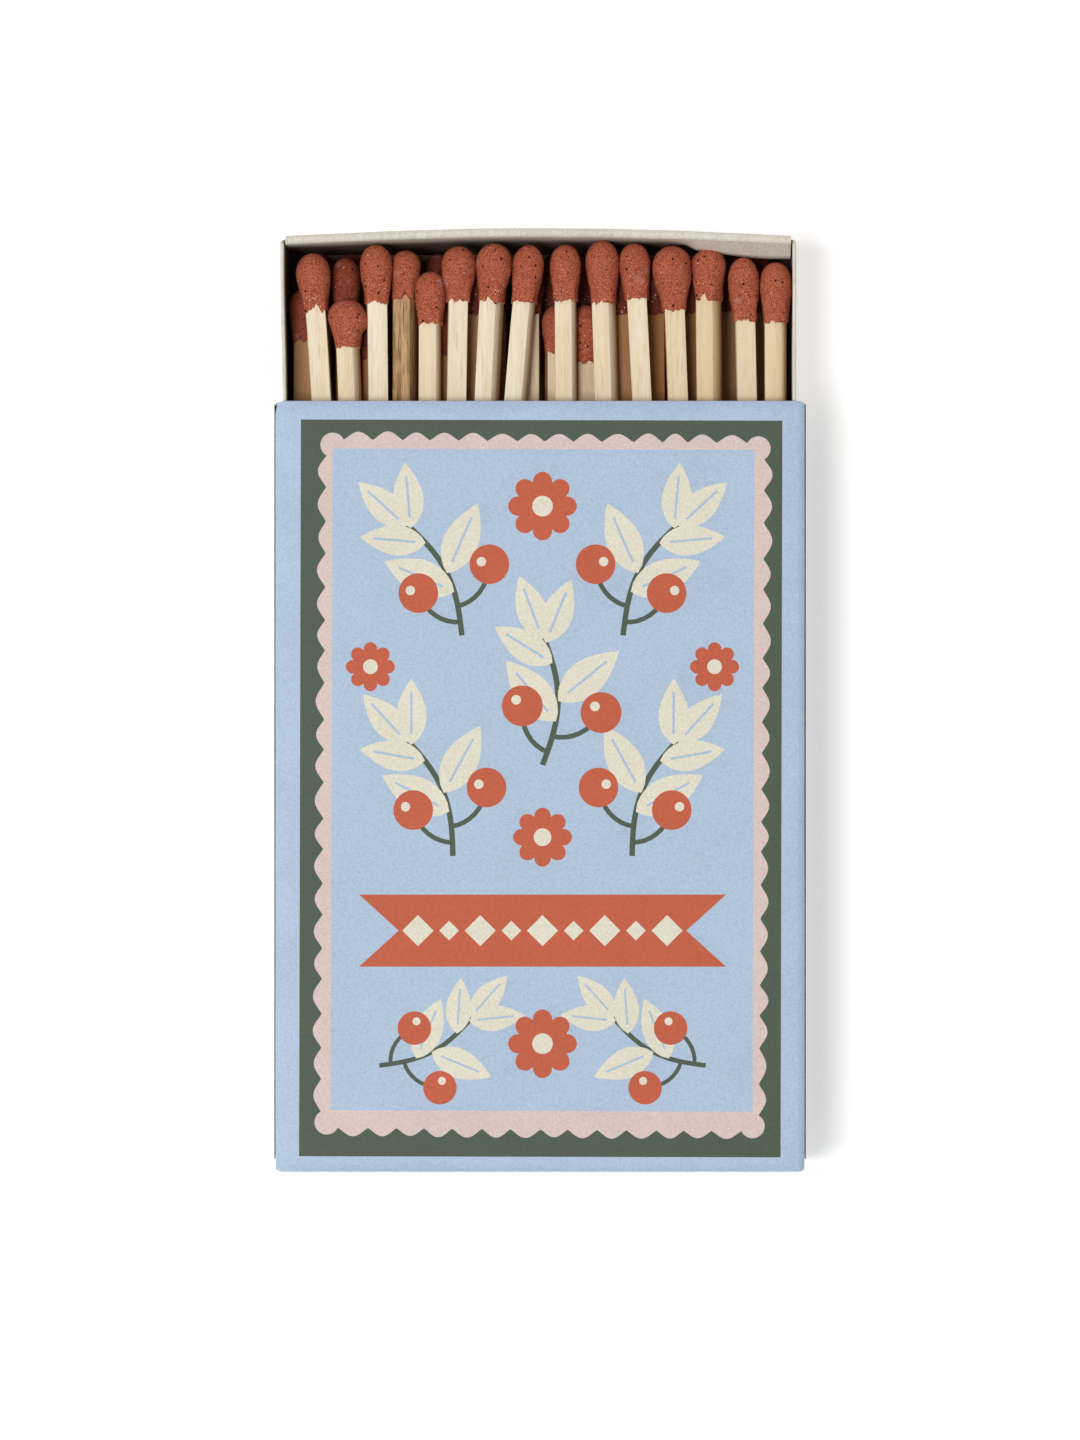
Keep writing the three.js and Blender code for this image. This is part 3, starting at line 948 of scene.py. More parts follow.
@dataclass
class Label:
    """The print on the sleeve's top: a framed field with a plain ribbon, sprigs and rosettes."""

    green: tuple[float, float, float, float] = (-29.29, 29.47, -45.2, 44.7)
    mat: tuple[float, float, float, float] = (-26.41, 27.03, -41.86, 42.1)
    field_box: tuple[float, float, float, float] = (-25.44, 26.05, -39.62, 41.16)
    green_turn: float = -0.14
    mat_turn: float = -0.5
    field_turn: float = -0.18
    lobes_across: int = 14
    lobes_along: int = 20
    lobe_depth: float = 1.0
    lobe_steps: int = 12
    corner_radius: float = 1.5
    corner_inset: Point = (0.75, 0.65)

    @staticmethod
    def rectangle(box: Sequence[float]) -> list[Point]:
        """Outlines a rectangle given as left, right, low and high."""
        left, right, low, high = box
        return [(left, low), (right, low), (right, high), (left, high)]

    @staticmethod
    def turned(outline: Sequence[Point], degrees: float) -> list[Point]:
        """Turns an outline about the label's middle, as the inks were laid slightly askew."""
        c, s = math.cos(math.radians(degrees)), math.sin(math.radians(degrees))
        return [(x * c - y * s, x * s + y * c) for x, y in outline]

    def lobes(self, start: Point, end: Point, count: int, seed: int) -> list[Point]:
        """Draws a row of scallops to the right of a line.

        Args:
            start: Where the row begins.
            end: Where it ends.
            count: Number of scallops.
            seed: Seed of their small irregularities.

        Returns:
            The points, without the last.
        """
        rng = random.Random(seed)
        length = math.dist(start, end)
        along = ((end[0] - start[0]) / length, (end[1] - start[1]) / length)
        out = (along[1], -along[0])
        stops = [0.0]
        for i in range(1, count):
            stops.append((i + rng.uniform(-0.07, 0.07)) / count)
        stops.append(1.0)
        points = []
        for a, b in zip(stops, stops[1:]):
            depth = self.lobe_depth * rng.uniform(0.88, 1.08)
            for i in range(self.lobe_steps):
                share = i / self.lobe_steps
                rise = depth * math.sin(math.pi * share) ** 1.2
                run = mix(a, b, share) * length
                x = start[0] + along[0] * run + out[0] * rise
                y = start[1] + along[1] * run + out[1] * rise
                points.append((x, y))
        return points

    def scalloped_mat(self) -> list[Point]:
        """Outlines the mat, with a round lobe on each corner.

        Returns:
            The points, anticlockwise.
        """
        left, right, low, high = self.mat
        radius = self.corner_radius
        inset_x, inset_y = self.corner_inset
        reach_x = inset_x + math.sqrt(radius**2 - inset_y**2)
        reach_y = inset_y + math.sqrt(radius**2 - inset_x**2)
        outline = []
        corners = ((left, low, 1, 1), (right, low, -1, 1), (right, high, -1, -1), (left, high, 1, -1))
        for i, (x, y, sx, sy) in enumerate(corners):
            centre = (x + sx * inset_x, y + sy * inset_y)
            feet = ((x, y + sy * reach_y), (x + sx * reach_x, y))
            first, last = feet if i % 2 == 0 else feet[::-1]
            start = math.atan2(first[1] - centre[1], first[0] - centre[0])
            stop = math.atan2(last[1] - centre[1], last[0] - centre[0])
            while stop < start:
                stop += 2 * math.pi
            outline += arc(centre, radius, math.degrees(start), math.degrees(stop), 18)[:-1]
            nx, ny, nsx, nsy = corners[(i + 1) % 4]
            goal = (nx + nsx * reach_x, ny) if i % 2 == 0 else (nx, ny + nsy * reach_y)
            outline += self.lobes(last, goal, self.lobes_across if i % 2 == 0 else self.lobes_along, i)
        return outline

    @staticmethod
    def rosette(x: float, y: float, radius: float) -> list[Field]:
        """Draws an eight-lobed coral flower with a cream middle.

        Args:
            x: Its middle, across the label.
            y: Its middle, along the label.
            radius: Its radius.

        Returns:
            The petals and the middle.
        """
        petals = []
        for i in range(96):
            angle = 2 * math.pi * i / 96
            reach = radius * (0.74 + 0.26 * abs(math.cos(4 * angle)) ** 0.7)
            petals.append((x + reach * math.cos(angle), y + reach * math.sin(angle)))
        eye = arc((x, y), radius * 0.3, 0, 360, 24)[:-1]
        return [Field(Ink.CORAL, petals), Field(Ink.CREAM, eye)]

    @staticmethod
    def ribbon(x: float, y: float, half: float, tall: float) -> list[Field]:
        """Draws a plain straight ribbon with notched ends and a row of small diamonds.

        Args:
            x: Its middle, across the label.
            y: Its middle, along the label.
            half: Half its length.
            tall: Its width.

        Returns:
            The band and its diamonds.
        """
        notch = tall * 0.55
        band = [
            (x - half, y - tall / 2), (x + half, y - tall / 2), (x + half - notch, y),
            (x + half, y + tall / 2), (x - half, y + tall / 2), (x - half + notch, y),
        ]
        drawn = [Field(Ink.CORAL, band)]
        for i in range(-4, 5):
            cx, reach = x + i * 3.8, 1.2 if i % 2 else 1.9
            diamond = [(cx - reach, y), (cx, y - reach), (cx + reach, y), (cx, y + reach)]
            drawn.append(Field(Ink.CREAM, diamond))
        return drawn

    def fields(self) -> list[Field]:
        """Draws the whole label.

        Returns:
            Every area of ink, lowest first.
        """
        x = (self.field_box[0] + self.field_box[1]) / 2
        drawn = [
            Field(Ink.MOSS, self.turned(self.rectangle(self.green), self.green_turn)),
            Field(Ink.BLUSH, self.turned(self.scalloped_mat(), self.mat_turn)),
            Field(Ink.FIELD, self.turned(self.rectangle(self.field_box), self.field_turn)),
        ]
        for flip in (False, True):
            side = 1 if flip else -1
            drawn += Sprig(x + side * 13.8, 26.2, -side * 27, 0.97, flip=flip).fields()
            drawn += Sprig(x + side * 14.2, -0.4, -side * 22, 0.97, flip=flip).fields()
            drawn += Sprig(x + side * 13.4, -30.6, side * 62, 0.82, flip=flip).fields()
            drawn += self.rosette(x + side * 21.0, 14.6, 3.0)
        drawn += Sprig(x, 11.6, 0, 1.0).fields()
        drawn += self.rosette(x, 34.2, 4.2)
        drawn += self.rosette(x, -6.2, 3.6)
        drawn += self.rosette(x, -31.4, 4.2)
        drawn += self.ribbon(x, -17.6, 22.4, 8.8)
        return drawn

    def fill(self, border: Sequence[Point]) -> tuple[list[Point], list[tuple[int, ...]], list[Ink]]:
        """Cuts the sleeve's flat top into triangles, each of one ink.

        Args:
            border: The points round the flat top, anticlockwise.

        Returns:
            The points, the triangles and the ink of each triangle.
        """
        areas = [Field(Ink.SKY, list(border))] + self.fields()
        points, faces = [], []
        for area in areas:
            outline = area.outline
            turn = sum(
                a[0] * b[1] - b[0] * a[1] for a, b in zip(outline, outline[1:] + outline[:1])
            )
            outline = outline if turn > 0 else outline[::-1]
            faces.append(list(range(len(points), len(points) + len(outline))))
            points += [Vector(p) for p in outline]
        result = delaunay_2d_cdt(points, [], faces, 1, 1e-4)
        inks = [areas[max(owners)].ink for owners in result[5]]
        return [tuple(p) for p in result[0]], [tuple(f) for f in result[2]], inks


# The sleeve


@dataclass
class Sleeve:
    """The printed card tube, its glue lap and its striking strips."""

    finishes: Finishes
    card: float = 0.4
    fold: float = 0.9
    bulge: float = 0.25
    cut: float = 0.1
    blunt: float = 0.6
    pinch: float = 0.4
    lap_height: float = 14.0
    lap_slant: float = 3.0
    lap_play: float = 0.03
    lap_foot: float = 0.45
    lap_steps: int = 14
    droop: float = 0.2
    droop_reach: float = 2.2
    wave: float = 0.03
    rub: float = 0.45
    rub_reach: float = 0.5
    fold_steps: int = 6
    wall_steps: int = 12
    steps_across: int = 28
    steps_along: int = 56
    mouth_steps: tuple[float, ...] = (0.15, 0.35, 0.6, 1.4)

    def __post_init__(self) -> None:
        """Reads the sleeve's size from the CAD model."""
        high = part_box("sleeve")[1] / MM
        self.half_width = high.x - self.bulge
        self.half_length = high.y
        self.height = high.z
        self.flat = self.half_width - self.fold
        inks = list(Ink)
        self.ink_slot = {ink: i for i, ink in enumerate(inks)}
        self.lining_slot = len(inks)
        self.materials = [self.finishes.inks[ink] for ink in inks] + [self.finishes.lining]

    def across(self) -> list[float]:
        """Returns the places across the flat top, from left to right."""
        return [mix(-self.flat, self.flat, i / self.steps_across) for i in range(self.steps_across + 1)]

    def along(self) -> list[float]:
        """Lists the places of the rings between the cut edges, closer together near the mouths.

        Returns:
            The places along the sleeve, from the rear to the front.
        """
        end = self.half_length - self.cut
        near = [end - step for step in self.mouth_steps]
        inner = [mix(-near[-1], near[-1], i / self.steps_along) for i in range(self.steps_along + 1)]
        return [-end] + [-y for y in near[:-1]] + inner + near[-2::-1] + [end]

    def profile(self, inset: float) -> list[Point]:
        """Outlines the tube, anticlockwise from the foot of the right-hand wall.

        Args:
            inset: Depth of the outline below the outer surface.

        Returns:
            Points in x and z.
        """
        low, high = self.fold, self.height - self.fold
        radius = self.fold - inset
        wall = []
        for i in range(1, self.wall_steps):
            share = i / self.wall_steps
            out = self.bulge * math.sin(math.pi * share)
            wall.append((self.half_width - inset + out, mix(low, high, share)))
        foot = arc((self.flat, low), radius, -90, 0, self.fold_steps)
        shoulder = arc((self.flat, high), radius, 0, 90, self.fold_steps)
        right = foot + wall + shoulder
        left = [(-x, z) for x, z in reversed(right)]
        inner = self.across()[1:-1]
        top = [(x, self.height - inset) for x in reversed(inner)]
        bottom = [(x, inset) for x in inner]
        return right + top + left + bottom

    def settle(self, x: float, y: float, z: float) -> Vector:
        """Moves a point as the handled card has settled: blunted corners and a slight wave.

        Args:
            x: Across the sleeve.
            y: Along the sleeve.
            z: Height above its underside.

        Returns:
            The point of the settled card.
        """
        middle = self.height / 2
        top = smoothstep(0.6, 1.0, abs(z - middle) / middle)
        side = smoothstep(self.flat - 1.2, self.half_width, abs(x))
        end = smoothstep(self.half_length - self.droop_reach, self.half_length, abs(y)) ** 2
        near_x = 1 - (self.half_width - abs(x)) / self.blunt
        near_y = 1 - (self.half_length - abs(y)) / self.blunt
        if near_x > 0 and near_y > 0:
            over = max(1.0, math.hypot(near_x, near_y))
            x -= math.copysign(top * self.blunt * near_x * (1 - 1 / over), x)
            y -= math.copysign(top * self.blunt * near_y * (1 - 1 / over), y)
        if x < 0 < y:
            x += self.pinch * end * side * top
        z -= math.copysign(self.droop * end * side * top, z - middle)
        wave = noise.noise(Vector((y / 17, z / 12, x)))
        return Vector((x - self.wave * abs(wave) * math.copysign(side, x), y, z))

    def edge(self, point: Vector) -> float:
        """Says how much the outside is rubbed.

        Args:
            point: Point of the outside.

        Returns:
            A value from 0 to 1.
        """
        cut = self.half_length - self.cut / 2
        mouth = smoothstep(self.half_length - self.rub_reach, cut, abs(point.y))
        middle = self.height / 2
        corner = min(abs(point.x) - self.flat, abs(point.z - middle) - middle + self.fold)
        crease = smoothstep(-0.1, self.fold * 0.66, corner)
        return min(1.0, self.rub * mouth + self.rub * crease)

    def add_ring(self, shell: Shell, outline: Sequence[Point], y: float) -> list[int]:
        """Adds one ring of the tube at a place along it."""
        points = [self.settle(x, y, z) for x, z in outline]
        return shell.add_points(points, edge=[self.edge(p) for p in points])

    def tube(self) -> bpy.types.Object:
        """Builds the printed tube with its lining, cut edges and label.

        Returns:
            The tube.
        """
        shell = Shell()
        ys = self.along()
        outer, inner = self.profile(0.0), self.profile(self.card)
        bevel = self.profile(self.cut)
        sky = self.ink_slot[Ink.SKY]
        flat_top = 2 * self.fold_steps + self.wall_steps
        rings = [self.add_ring(shell, outer, y) for y in ys]
        for first, second in zip(rings, rings[1:]):
            for i in range(len(outer)):
                # The label takes the place of the faces of the flat top.
                if flat_top <= i < flat_top + self.steps_across:
                    continue
                j = (i + 1) % len(outer)
                shell.add_face((first[i], first[j], second[j], second[i]), sky)
        places = [-self.half_length] + ys[1:-1] + [self.half_length]
        lining = [self.add_ring(shell, inner, y) for y in places]
        for first, second in zip(lining, lining[1:]):
            shell.bridge(first, second, self.lining_slot)
        for sign, last, lined in ((-1, rings[0], lining[0]), (1, rings[-1], lining[-1])):
            rim = self.add_ring(shell, bevel, sign * self.half_length)
            shell.bridge(last, rim, sky)
            shell.bridge(rim, lined, self.lining_slot)
        self.add_label(shell, ys)
        tube = shell.build("sleeve_card", Body.SLEEVE, "printed_card", self.materials, 50.0)
        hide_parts("sleeve")
        return tube

    def add_label(self, shell: Shell, ys: Sequence[float]) -> None:
        """Adds the printed flat top, whose border meets the tube's other faces.

        Args:
            shell: Where to add it.
            ys: Places of the tube's rings.
        """
        xs = self.across()
        border = [(x, ys[0]) for x in xs[:-1]] + [(self.flat, y) for y in ys[:-1]]
        border += [(x, ys[-1]) for x in reversed(xs[1:])] + [(-self.flat, y) for y in reversed(ys[1:])]
        places, faces, inks = Label().fill(border)
        points = [self.settle(x, y, self.height) for x, y in places]
        first = len(shell.points)
        shell.add_points(points, edge=[self.edge(p) for p in points])
        for face, ink in zip(faces, inks):
            shell.add_face([first + i for i in face], self.ink_slot[ink])

    def lap(self) -> bpy.types.Object:
        """Builds the glue lap against the inside of the right-hand wall.

        Returns:
            The lap.
        """
        shell = Shell()
        low, high = self.fold, self.height - self.fold
        rings = []
        for i in range(self.lap_steps + 1):
            z = mix(self.card + 2 * self.lap_play, self.card + self.lap_height, i / self.lap_steps)
            share = min(1.0, max(0.0, (z - low) / (high - low)))
            out = self.bulge * math.sin(math.pi * share)
            reach = self.half_length - 0.05 - self.lap_slant * z / (self.lap_height + self.card)
            foot = self.lap_foot * smoothstep(1.1, self.card, z)
            far = self.half_width - self.card - self.lap_play + out - foot
            near = far - self.card + self.lap_play
            plan = ((far, -reach), (near, -reach), (near, reach), (far, reach))
            rings.append([Vector((x, y, z)) for x, y in plan])
        shell.loft(rings)
        return shell.build("sleeve_lap", Body.SLEEVE, "printed_card", [self.finishes.lining])

    def dress_strikers(self) -> None:
        """Gives both striking strips of the CAD model their gritty coat."""
        for name in ("striker_left", "striker_right"):
            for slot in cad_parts[name].material_slots:
                slot.material = self.finishes.grit
            LOG.info("%s: keeps its CAD shape", name)


# The tray


@dataclass
class Tray:
    """The folded card tray: floor, side walls, double end walls and corner tabs."""

    finishes: Finishes
    card: float = 0.35
    burr: float = 0.07
    fold: float = 0.6
    tab_play: float = 0.05
    tab_length: float = 12.0
    tab_drop: float = 1.2
    panel_inset: float = 0.65
    bow: float = 1.0
    flare: float = 0.45
    sag: float = 1.5
    sag_foot: float = 11.5
    wave: float = 0.07
    hump: float = 0.06
    recess: float = 0.3
    pulled_out: float = 20.2
    end_from: float = 0.97
    steps_across: int = 12
    steps_along: int = 60
    panel_steps: int = 48

    def __post_init__(self) -> None:
        """Reads the tray's place from the CAD model."""
        low, high = (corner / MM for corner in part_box("tray"))
        self.half_width = high.x
        self.floor = low.z
        self.height = high.z - low.z
        self.end_fold = 3 * self.card + self.tab_play
        sleeve_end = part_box("sleeve")[1].y / MM
        self.front = sleeve_end + self.pulled_out
        self.half_length = sleeve_end - self.recess
        self.middle = self.front - self.half_length

    def settle(self, x: float, y: float, z: float) -> Vector:
        """Moves a point of the flat-folded tray to where the card has settled.

        Args:
            x: Across the tray from its middle.
            y: Along the tray from its middle.
            z: Height above the tray's underside.

        Returns:
            The point in the CAD model's frame.
        """
        rise = z / self.height
        on_end = abs(y) / self.half_length > self.end_from
        push = self.bow * rise * math.cos(math.pi * x / (2 * self.half_width)) if on_end else 0.0
        pull = smoothstep(self.half_length - 1.6 * self.pulled_out, self.half_length, y)
        spring = self.flare * rise * pull * x / self.half_width if x < 0 else 0.0
        wave = self.wave * rise * noise.noise(Vector((y / 9, x / 40, 3.0)))
        hump = self.hump * rise * noise.noise(Vector((x / 7, y / 40, 8.0))) if on_end else 0.0
        out = math.copysign(push + hump, y)
        return Vector((x + spring + wave, y + out + self.middle, z + self.floor))

    def corner(self) -> float:
        """Returns the distance from the tray's end to the centre of its round corners."""
        return self.card + self.tab_play / 2 + self.fold

    def channel(self, shell: Shell) -> None:
        """Adds the floor and the two side walls as one bent sheet.

        Args:
            shell: Where to add them.
        """
        half, top, card = self.half_width, self.height, self.card
        inner = self.fold - card
        rim = card / 2 + self.burr
        across = [i / self.steps_across for i in range(1, self.steps_across)]
        levels = (0.3, 0.6, 0.85)
        inner_levels = levels + (0.95,)
        outline = arc((-half + self.fold, self.fold), self.fold, 180, 270, 6)
        outline += [(mix(-half, half, share), 0.0) for share in across]
        outline += arc((half - self.fold, self.fold), self.fold, 270, 360, 6)
        outline += [(half, mix(0, top, share)) for share in levels]
        outline += arc((half - rim, top - rim), rim, 0, 180, 5)
        outline += [(half - card, mix(0, top, share)) for share in reversed(inner_levels)]
        outline += arc((half - self.fold, self.fold), inner, 360, 270, 5)
        outline += [(mix(half, -half, share), card) for share in across]
        outline += arc((-half + self.fold, self.fold), inner, 270, 180, 5)
        outline += [(-half + card, mix(0, top, share)) for share in inner_levels]
        outline += arc((-half + rim, top - rim), rim, 0, 180, 5)
        outline += [(-half, mix(0, top, share)) for share in reversed(levels)]
        reach = self.half_length - self.corner()
        stations = [mix(-reach, reach, i / self.steps_along) for i in range(self.steps_along + 1)]
        # Painted shade on the inner faces of the floor and side walls.
        inside_shade = [
            self.inside_shade(z) if abs(x) < half - 0.9 * card and z > 0.9 * card else 0.0 for x, z in outline
        ]
        rings = [[self.settle(x, y, z) for x, z in outline] for y in stations]
        shell.loft(rings, deep=[inside_shade] * len(rings))

    def inside_shade(self, z: float) -> float:
        """Returns how much painted shade darkens the inside at a height above the tray's underside, darker
        towards the floor.
        """
        return 0.9 * (1 - smoothstep(self.height - 7.0, self.height - 2.0, z))

    def slack(self, x: float, y: float, z: float, end: int) -> float:
        """Returns how far the front wall's inner panel has sagged inwards, free of the matches.

        Args:
            x: Across the tray from its middle.
            y: Place in the wall's outline, 0 on its outside.
            z: Height above the tray's underside.
            end: 1 for the front, -1 for the rear.

        Returns:
            A distance towards the middle of the tray.
        """
        if end < 0 or y > self.card - self.end_fold + 0.01:
            return 0.0
        share = (self.height - self.end_fold / 2 - z) / (self.height - self.sag_foot)
        if not 0 < share < 1:
            return 0.0
        return self.sag * smoothstep(14.0, 29.0, x) * math.sin(math.pi * share**0.8)

    def end_wall(self, shell: Shell, end: int) -> None:
        """Adds one end wall: the floor's sheet bent up, over the rim and down again.

        Args:
            shell: Where to add it.
            end: 1 for the front, -1 for the rear.
        """
        top, card, fold = self.height, self.card, self.fold
        rim = self.end_fold / 2
        low = card + 0.1
        outline = [(-3.0, 0.1)] + arc((-fold, fold), fold, 270, 360, 6)
        outline += [(0.0, mix(fold, top - rim, share)) for share in (0.3, 0.6, 0.85)]
        outline += arc((-rim, top - rim), rim, 0, 180, 10)
        levels = [i / 12 for i in range(1, 13)]
        outline += [(-self.end_fold, mix(top - rim, low, share)) for share in levels]
        outline += [(-self.end_fold + card, mix(top - rim, low, share)) for share in reversed(levels)]
        outline += arc((-rim, top - rim), rim - card, 180, 0, 6)
        outline += [(-card, mix(top - rim, fold, share)) for share in (0.15, 0.4, 0.7)]
        outline += arc((-fold, fold), fold - card, 360, 270, 5) + [(-3.0, card - 0.1)]
        half = self.half_width - self.panel_inset
        rings = []
        for i in range(self.panel_steps + 1):
            x = mix(half, -half, i / self.panel_steps)
            ring = [(y - self.slack(x, y, z, end), z) for y, z in outline]
            rings.append([self.settle(x, end * (self.half_length + y), z) for y, z in ring])
        # Painted shade on the inner panel of the end wall.
        inside_shade = [self.inside_shade(z) if y < 0.01 - self.end_fold else 0.0 for y, z in outline]
        shell.loft(rings, deep=[inside_shade] * len(rings))

    def tab(self, shell: Shell, side: int, end: int) -> None:
        """Adds a corner tab: the end of a side wall turned in between the end wall's panels.

        Args:
            shell: Where to add it.
            side: 1 for the right wall, -1 for the left.
            end: 1 for the front, -1 for the rear.
        """
        low = self.card + 0.1
        top = self.height
        centre = self.corner()
        turn_x = self.half_width - self.fold
        root, thinner = 1.2, 0.08
        stations = [(0.0, turn_x, root, thinner, top), (0.0, turn_x, 0.0, 0.0, top)]
        for i in range(1, 9):
            drop = self.tab_drop * smoothstep(2, 8, i)
            stations.append((90 * i / 8, turn_x, 0.0, 0.0, top - drop))
        for i in range(1, 5):
            stations.append((90.0, turn_x - self.tab_length * i / 4, 0.0, 0.0, top - self.tab_drop))
        rings = []
        for angle, x, back, thin, high in stations:
            turned = math.radians(angle)
            ring = []
            rim = self.card / 2 - thin
            middle = self.fold - self.card / 2
            shoulder = high - thin - rim
            section = [(middle + rim, low + thin), (middle - rim, low + thin), (middle - rim, shoulder)]
            section += [(middle + px, pz) for px, pz in arc((0, shoulder), rim, 150, 30, 4)]
            section += [(middle + rim, shoulder)]
            for radius, z in section:
                ring.append(
                    self.settle(
                        side * (x + radius * math.cos(turned)),
                        end * (self.half_length - centre - back + radius * math.sin(turned)),
                        z,
                    )
                )
            rings.append(ring)
        shell.loft(rings, deep=[0.0] * len(rings))
        self.gusset(shell, side, end)

    def gusset(self, shell: Shell, side: int, end: int) -> None:
        """Adds the floor's corner, under the tab.

        Args:
            shell: Where to add it.
            side: 1 for the right-hand corner, -1 for the left.
            end: 1 for the front, -1 for the rear.
        """
        near, far = self.half_length - 2 * self.corner(), self.half_length - 0.15
        left, right = self.half_width - 2 * self.fold, self.half_width - 0.2
        plan = [(left, near), (right, near), (right, far - 0.3), (right - 0.3, far), (left, far)]
        rings = [[self.settle(side * x, end * y, z) for x, y in plan] for z in (0.12, self.card - 0.02)]
        # Painted shade on the gusset's upper face.
        shell.loft(rings, deep=[0.0, 0.9])

    def build(self) -> bpy.types.Object:
        """Builds the tray over its CAD node.

        Returns:
            The tray.
        """
        shell = Shell()
        self.channel(shell)
        for end in (1, -1):
            self.end_wall(shell, end)
            for side in (1, -1):
                self.tab(shell, side, end)
        tray = shell.build("tray_card", Body.TRAY, "tray_board", [self.finishes.board], 45.0)
        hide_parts("tray")
        return tray


# The matches


def corners_of(node: str) -> list[Vector]:
    """Lists the separate corners of a CAD node.

    Args:
        node: Name of the node.

    Returns:
        The corners in millimetres, the farthest along +Y first.
    """
    seen = {}
    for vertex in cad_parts[node].data.vertices:
        point = vertex.co / MM
        seen[tuple(round(c, 2) for c in point)] = point
    return sorted(seen.values(), key=lambda p: -p.y)


@dataclass
class Stick:
    """One match: where it lies and how its head is shaped."""

    centres: list[Vector]
    half_side: Vector
    half_rise: Vector
    tip: Vector
    head_length: float
    head_radius: float
    seed: int
    notch: float = 0.0
    notch_turn: float = 0.0
    lump: float = 0.0
    tint: float = 0.5
    # Painted shade: under_shade on the lower faces, tail_shade at the tail, fading in over shade_reach
    # along the tray.
    under_shade: float = 0.6
    tail_shade: float = 0.3
    shade_reach: Point = (25.0, 45.0)
    sawn_roll: Point = (6.0, 12.0)

    @classmethod
    def from_nodes(cls, number: int) -> "Stick":
        """Reads a match's place from its two CAD nodes.

        Args:
            number: Number of the match.

        Returns:
            The match.
        """
        corners = corners_of(f"match_{number:02d}_splint")
        rings = [corners[i : i + 4] for i in range(0, len(corners), 4)]
        centres = [sum(ring, Vector()) / 4 for ring in rings]
        first = sorted(rings[0], key=lambda p: math.atan2(p.z - centres[0].z, p.x - centres[0].x))
        along = (centres[0] - centres[1]).normalized()
        head = corners_of(f"match_{number:02d}_head")
        reach = [(p - centres[0]).dot(along) for p in head]
        away = [((p - centres[0]) - along * r).length for p, r in zip(head, reach)]
        return cls(
            centres=centres,
            half_side=((first[1] + first[2]) - (first[0] + first[3])) / 4,
            half_rise=((first[2] + first[3]) - (first[0] + first[1])) / 4,
            tip=centres[0] + along * max(reach),
            head_length=max(reach) - min(reach),
            head_radius=max(away),
            seed=number,
        )

    def along(self) -> Vector:
        """Returns the direction from the tail towards the tip, at the head."""
        return (self.centres[0] - self.centres[1]).normalized()

    def centre_at(self, y: float) -> Vector:
        """Finds the splint's centre on the line of its CAD rings.

        Args:
            y: Place along the tray.

        Returns:
            The centre at that place.
        """
        pairs = list(zip(self.centres, self.centres[1:]))
        upper, lower = next((pair for pair in pairs if y >= pair[1].y), pairs[-1])
        return upper.lerp(lower, (upper.y - y) / (upper.y - lower.y))

    def sawn_off(self, a: float, b: float) -> Point:
        """Pulls a point of the square section in to the facets that a rolled splint shows.

        Args:
            a: Place across the section, from -1 to 1.
            b: Place up the section, from -1 to 1.

        Returns:
            The point on the section with its upper right corner sawn off.
        """
        roll = math.degrees(math.atan2(self.half_side.z, self.half_side.x))
        cut = smoothstep(*self.sawn_roll, roll)
        if a < 0 or b < 0 or cut == 0:
            return a, b
        scale = min(1.0, (1 - 0.3 * cut) / max(0.3 * a + 0.7 * b, 0.7 * a + 0.3 * b))
        return a * scale, b * scale

    def add_splint(self, shell: Shell, stations: int, deep: float, ridged: bool = True) -> None:
        """Adds the sawn splint, a square stick with slightly uneven faces.

        Args:
            shell: Where to add it.
            stations: Number of rings along it.
            deep: Strength of the painted shade for lying deep in the tray, from 0 to 1.
            ridged: Whether its faces have small ridges.
        """
        rng = random.Random(900 + self.seed)
        steps = (-0.93, -0.45, 0.1, 0.55, 0.93)
        square = [(s, -1.0) for s in steps] + [(1.0, s) for s in steps]
        square += [(-s, 1.0) for s in steps] + [(-1.0, -s) for s in steps]
        square = [self.sawn_off(a, b) for a, b in square]
        ridges = [1 + (rng.uniform(-0.035, 0.02) if ridged else 0.0) for _ in square]
        start, stop = self.centres[0].y, self.centres[-1].y
        rings = []
        for i in range(stations + 1):
            y = mix(start, stop, i / stations)
            centre = self.centre_at(y)
            swell = 1 + 0.02 * noise.noise(Vector((y / 11, self.seed * 3.1, 0.5)))
            rings.append(
                [
                    centre + (self.half_side * a + self.half_rise * b) * ridge * swell
                    for (a, b), ridge in zip(square, ridges)
                ]
            )
        # Painted shade: the lower faces get under_shade, and the whole splint its painted shade, fading to
        # tail_shade towards its tail.
        under = [self.under_shade * (1 - smoothstep(-0.9, 1.05, b)) for _, b in square]
        shade = []
        for i in range(stations + 1):
            near = smoothstep(*self.shade_reach, mix(start, stop, i / stations))
            depth = deep * mix(self.tail_shade, 1.0, near)
            shade.append([max(depth, value) for value in under])
        shell.loft(rings, tint=[self.tint] * len(rings), deep=shade)

    def radius_at(self, share: float, angle: float, half: float, skirt: float) -> float:
        """Works out the head's smooth outline: a drop that turns into a skirt round the splint.

        Args:
            share: Share of the head's length, from the tip.
            angle: Angle round its axis, in radians.
            half: Half the splint's width.
            skirt: Thickness of the skirt.

        Returns:
            The radius there.
        """
        widest, squareness, blend = 0.36, 6, 10
        if share < widest:
            inner = 1 - share / widest
            return self.head_radius * (1 - inner**2.1) ** 0.5
        past = (share - widest) / (1 - widest)
        base = half + skirt * mix(1.0, 0.55, past)
        drop = mix(base * 1.04, self.head_radius, (1 + math.cos(math.pi * past)) / 2)
        corners = abs(math.cos(angle)) ** squareness + abs(math.sin(angle)) ** squareness
        cover = base * corners ** (-1 / squareness) * smoothstep(0.0, 0.45, past)
        return (drop**blend + cover**blend) ** (1 / blend)

